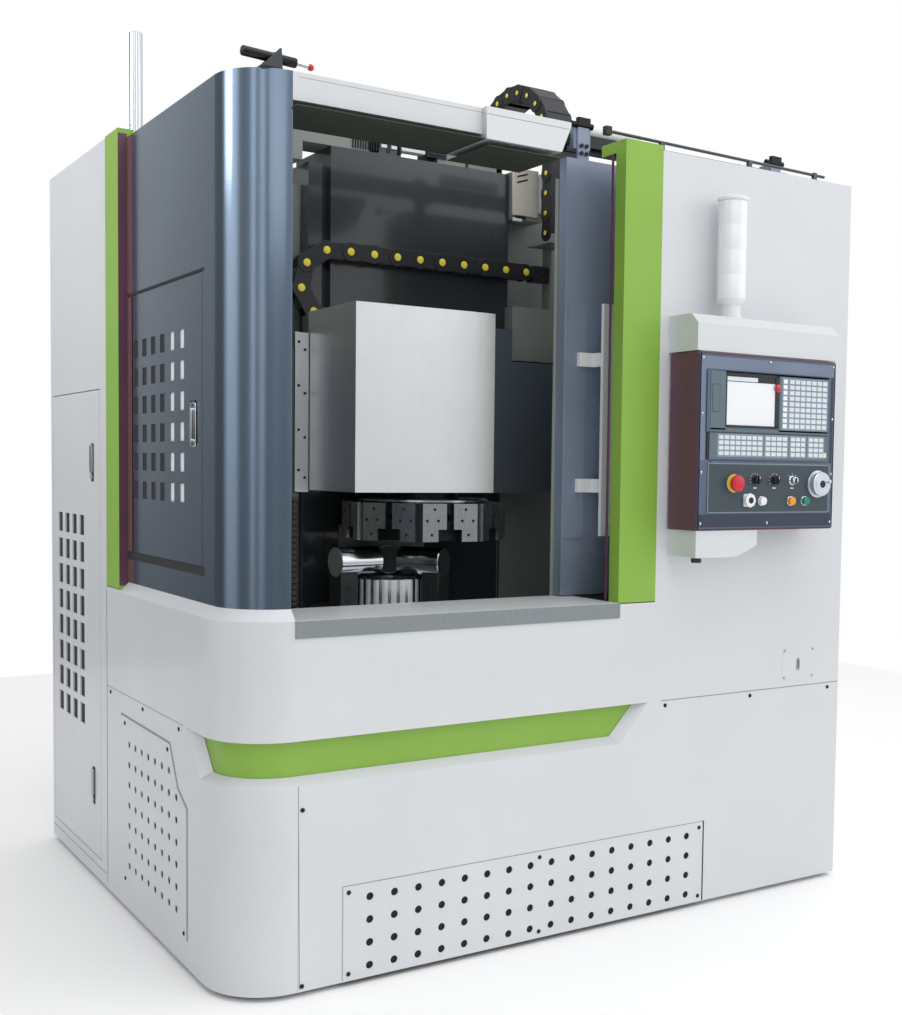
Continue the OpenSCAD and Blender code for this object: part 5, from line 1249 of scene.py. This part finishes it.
# Corrugated hose behind the left edge of the opening, bent into the left wall.
hoseLook = {"x": -797, "y": 338, "low": 880, "high": 1318, "radius": 20, "groove": 4,
            "pitch": 17, "wall": -924, "branch": 17}
x, y, top = hoseLook["x"], hoseLook["y"], hoseLook["high"]
outer = hoseLook["radius"]
inner = outer - hoseLook["groove"]
profile, travelled = [], 0
while travelled < top - hoseLook["low"]:
    profile += [(inner, travelled), (outer, travelled + 4), (outer, travelled + 11),
                (inner, travelled + 15)]
    travelled += hoseLook["pitch"]
hose = bmesh.new()
addTurned(hose, profile, at(x, y, hoseLook["low"]), upwards, 24)
addRod(hose, at(x + 14, y, top), at(hoseLook["wall"], y, top), hoseLook["branch"], 24)
makePiece("corrugatedHose", hose, blackNylonAndShade, "frame")
print("sheets, seams and small parts ready")

# Stage: pale floor, soft lamps and a white surrounding.
stageLook = {"floor": "#FFFFFF", "size": 10, "surround": 1.03, "leftSide": 0.32}
bpy.ops.mesh.primitive_plane_add(size=stageLook["size"])
floor = bpy.context.object
floor.name = "floor"
floor.data.materials.append(paint("concrete, sealed white", stageLook["floor"], "#FDFDFD", 0.7))

world = bpy.data.worlds.new("studio")
bpy.context.scene.world = world
world.use_nodes = True
sky = world.node_tree
sky.nodes.clear()
rays = addNode(sky, "LightPath").outputs
direction = addNode(sky, "TexCoord").outputs["Generated"]
axes = addNode(sky, "SeparateXYZ", {"Vector": direction})

# What shiny surfaces see: lighter upwards, with tall bright and dark bands round the machine.
# Each band is (turn round the room from 0 to 1, brightness).
roomBands = [(0.0, 1.6), (0.025, 0.36), (0.075, 0.5), (0.1, 2.5), (0.118, 0.3), (0.15, 2.1),
             (0.172, 0.36), (0.225, 0.62), (0.27, 0.42), (0.312, 0.66), (0.332, 1.75),
             (0.38, 1.0), (0.45, 1.0), (0.6, 0.7), (0.7, 0.5), (0.785, 0.76), (0.81, 0.17),
             (0.9, 0.1), (0.94, 2.3), (1.0, 2.1)]
roomHeight = {"From Min": -0.15, "From Max": 0.3, "To Min": 0.26, "To Max": 1.22}
turn = addNode(sky, "TexGradient", {"Vector": direction}, gradient_type="RADIAL")
ramp = addNode(sky, "ValToRGB", {"Fac": turn.outputs["Fac"]})
stops = ramp.color_ramp.elements
while len(stops) < len(roomBands):
    stops.new(0.5)
for stop, (place, level) in zip(stops, roomBands):
    stop.position = place
    stop.color = (level, level, level, 1)
rise = addNode(sky, "MapRange", {"Value": axes.outputs["Z"], **roomHeight})
room = addNode(sky, "Math", {0: ramp.outputs["Color"], 1: rise.outputs["Result"]},
               operation="MULTIPLY")
# What lights the matt surfaces: plain, and dimmer from the machine's left.
side = addNode(sky, "MapRange", {"Value": axes.outputs["X"], "From Min": -1.0, "From Max": 0.2,
                                 "To Min": stageLook["leftSide"],
                                 "To Max": stageLook["surround"]})
white = tone("#FFFFFF")
plain = addNode(sky, "Background", {"Color": white, "Strength": side.outputs["Result"]})
shown = addNode(sky, "Background", {"Color": white, "Strength": 1.0})
mirrored = addNode(sky, "Background", {"Color": tone("#FAFCFF"), "Strength": room.outputs[0]})
withGloss = addNode(sky, "MixShader", {0: rays["Is Glossy Ray"], 1: plain.outputs[0],
                                       2: mirrored.outputs[0]})
seen = addNode(sky, "Math", {0: rays["Is Camera Ray"], 1: rays["Is Transmission Ray"]},
               operation="MAXIMUM")
withView = addNode(sky, "MixShader", {0: seen.outputs[0], 1: withGloss.outputs[0],
                                      2: shown.outputs[0]})
addNode(sky, "OutputWorld", {"Surface": withView.outputs[0]})

# Square lamps: watts, side length, place, the point they face, and the spread of the light.
lamps = {"key": (46, 3.5, (-1.5, -6.0, 4.5), (0, 0, 1.2), 180),
         "fill": (24, 4.0, (5.5, -4.0, 3.0), (0, 0, 1.2), 180),
         "top": (100, 4.0, (0.0, -2.6, 7.0), (0, 0, 1.0), 180),
         "left": (10.5, 1.5, (-4.4, 0.8, 3.7), (-1.1, 0.6, 2.5), 62)}
for name, (watts, size, place, target, spread) in lamps.items():
    lamp = bpy.data.lights.new(name, "AREA")
    lamp.energy = watts
    lamp.size = size
    lamp.spread = math.radians(spread)
    holder = bpy.data.objects.new(name, lamp)
    bpy.context.scene.collection.objects.link(holder)
    holder.location = place
    aim = Vector(target) - Vector(place)
    holder.rotation_euler = aim.to_track_quat("-Z", "Y").to_euler()

cameraLook = {"place": (-2.249, -4.0121, 1.4251), "turn": (86.778, -0.859, -33.926),
              "sensor": 36, "lens": 45.68, "shiftX": -0.0975, "shiftY": 0.0338, "far": 200}
camera = bpy.data.objects.new("camera", bpy.data.cameras.new("camera"))
bpy.context.scene.collection.objects.link(camera)
bpy.context.scene.camera = camera
camera.location = cameraLook["place"]
camera.rotation_euler = [math.radians(angle) for angle in cameraLook["turn"]]
camera.data.sensor_width = cameraLook["sensor"]
camera.data.lens = cameraLook["lens"]
camera.data.shift_x = cameraLook["shiftX"]
camera.data.shift_y = cameraLook["shiftY"]
camera.data.clip_end = cameraLook["far"]
bpy.context.scene.view_settings.view_transform = "Standard"
print("stage ready")
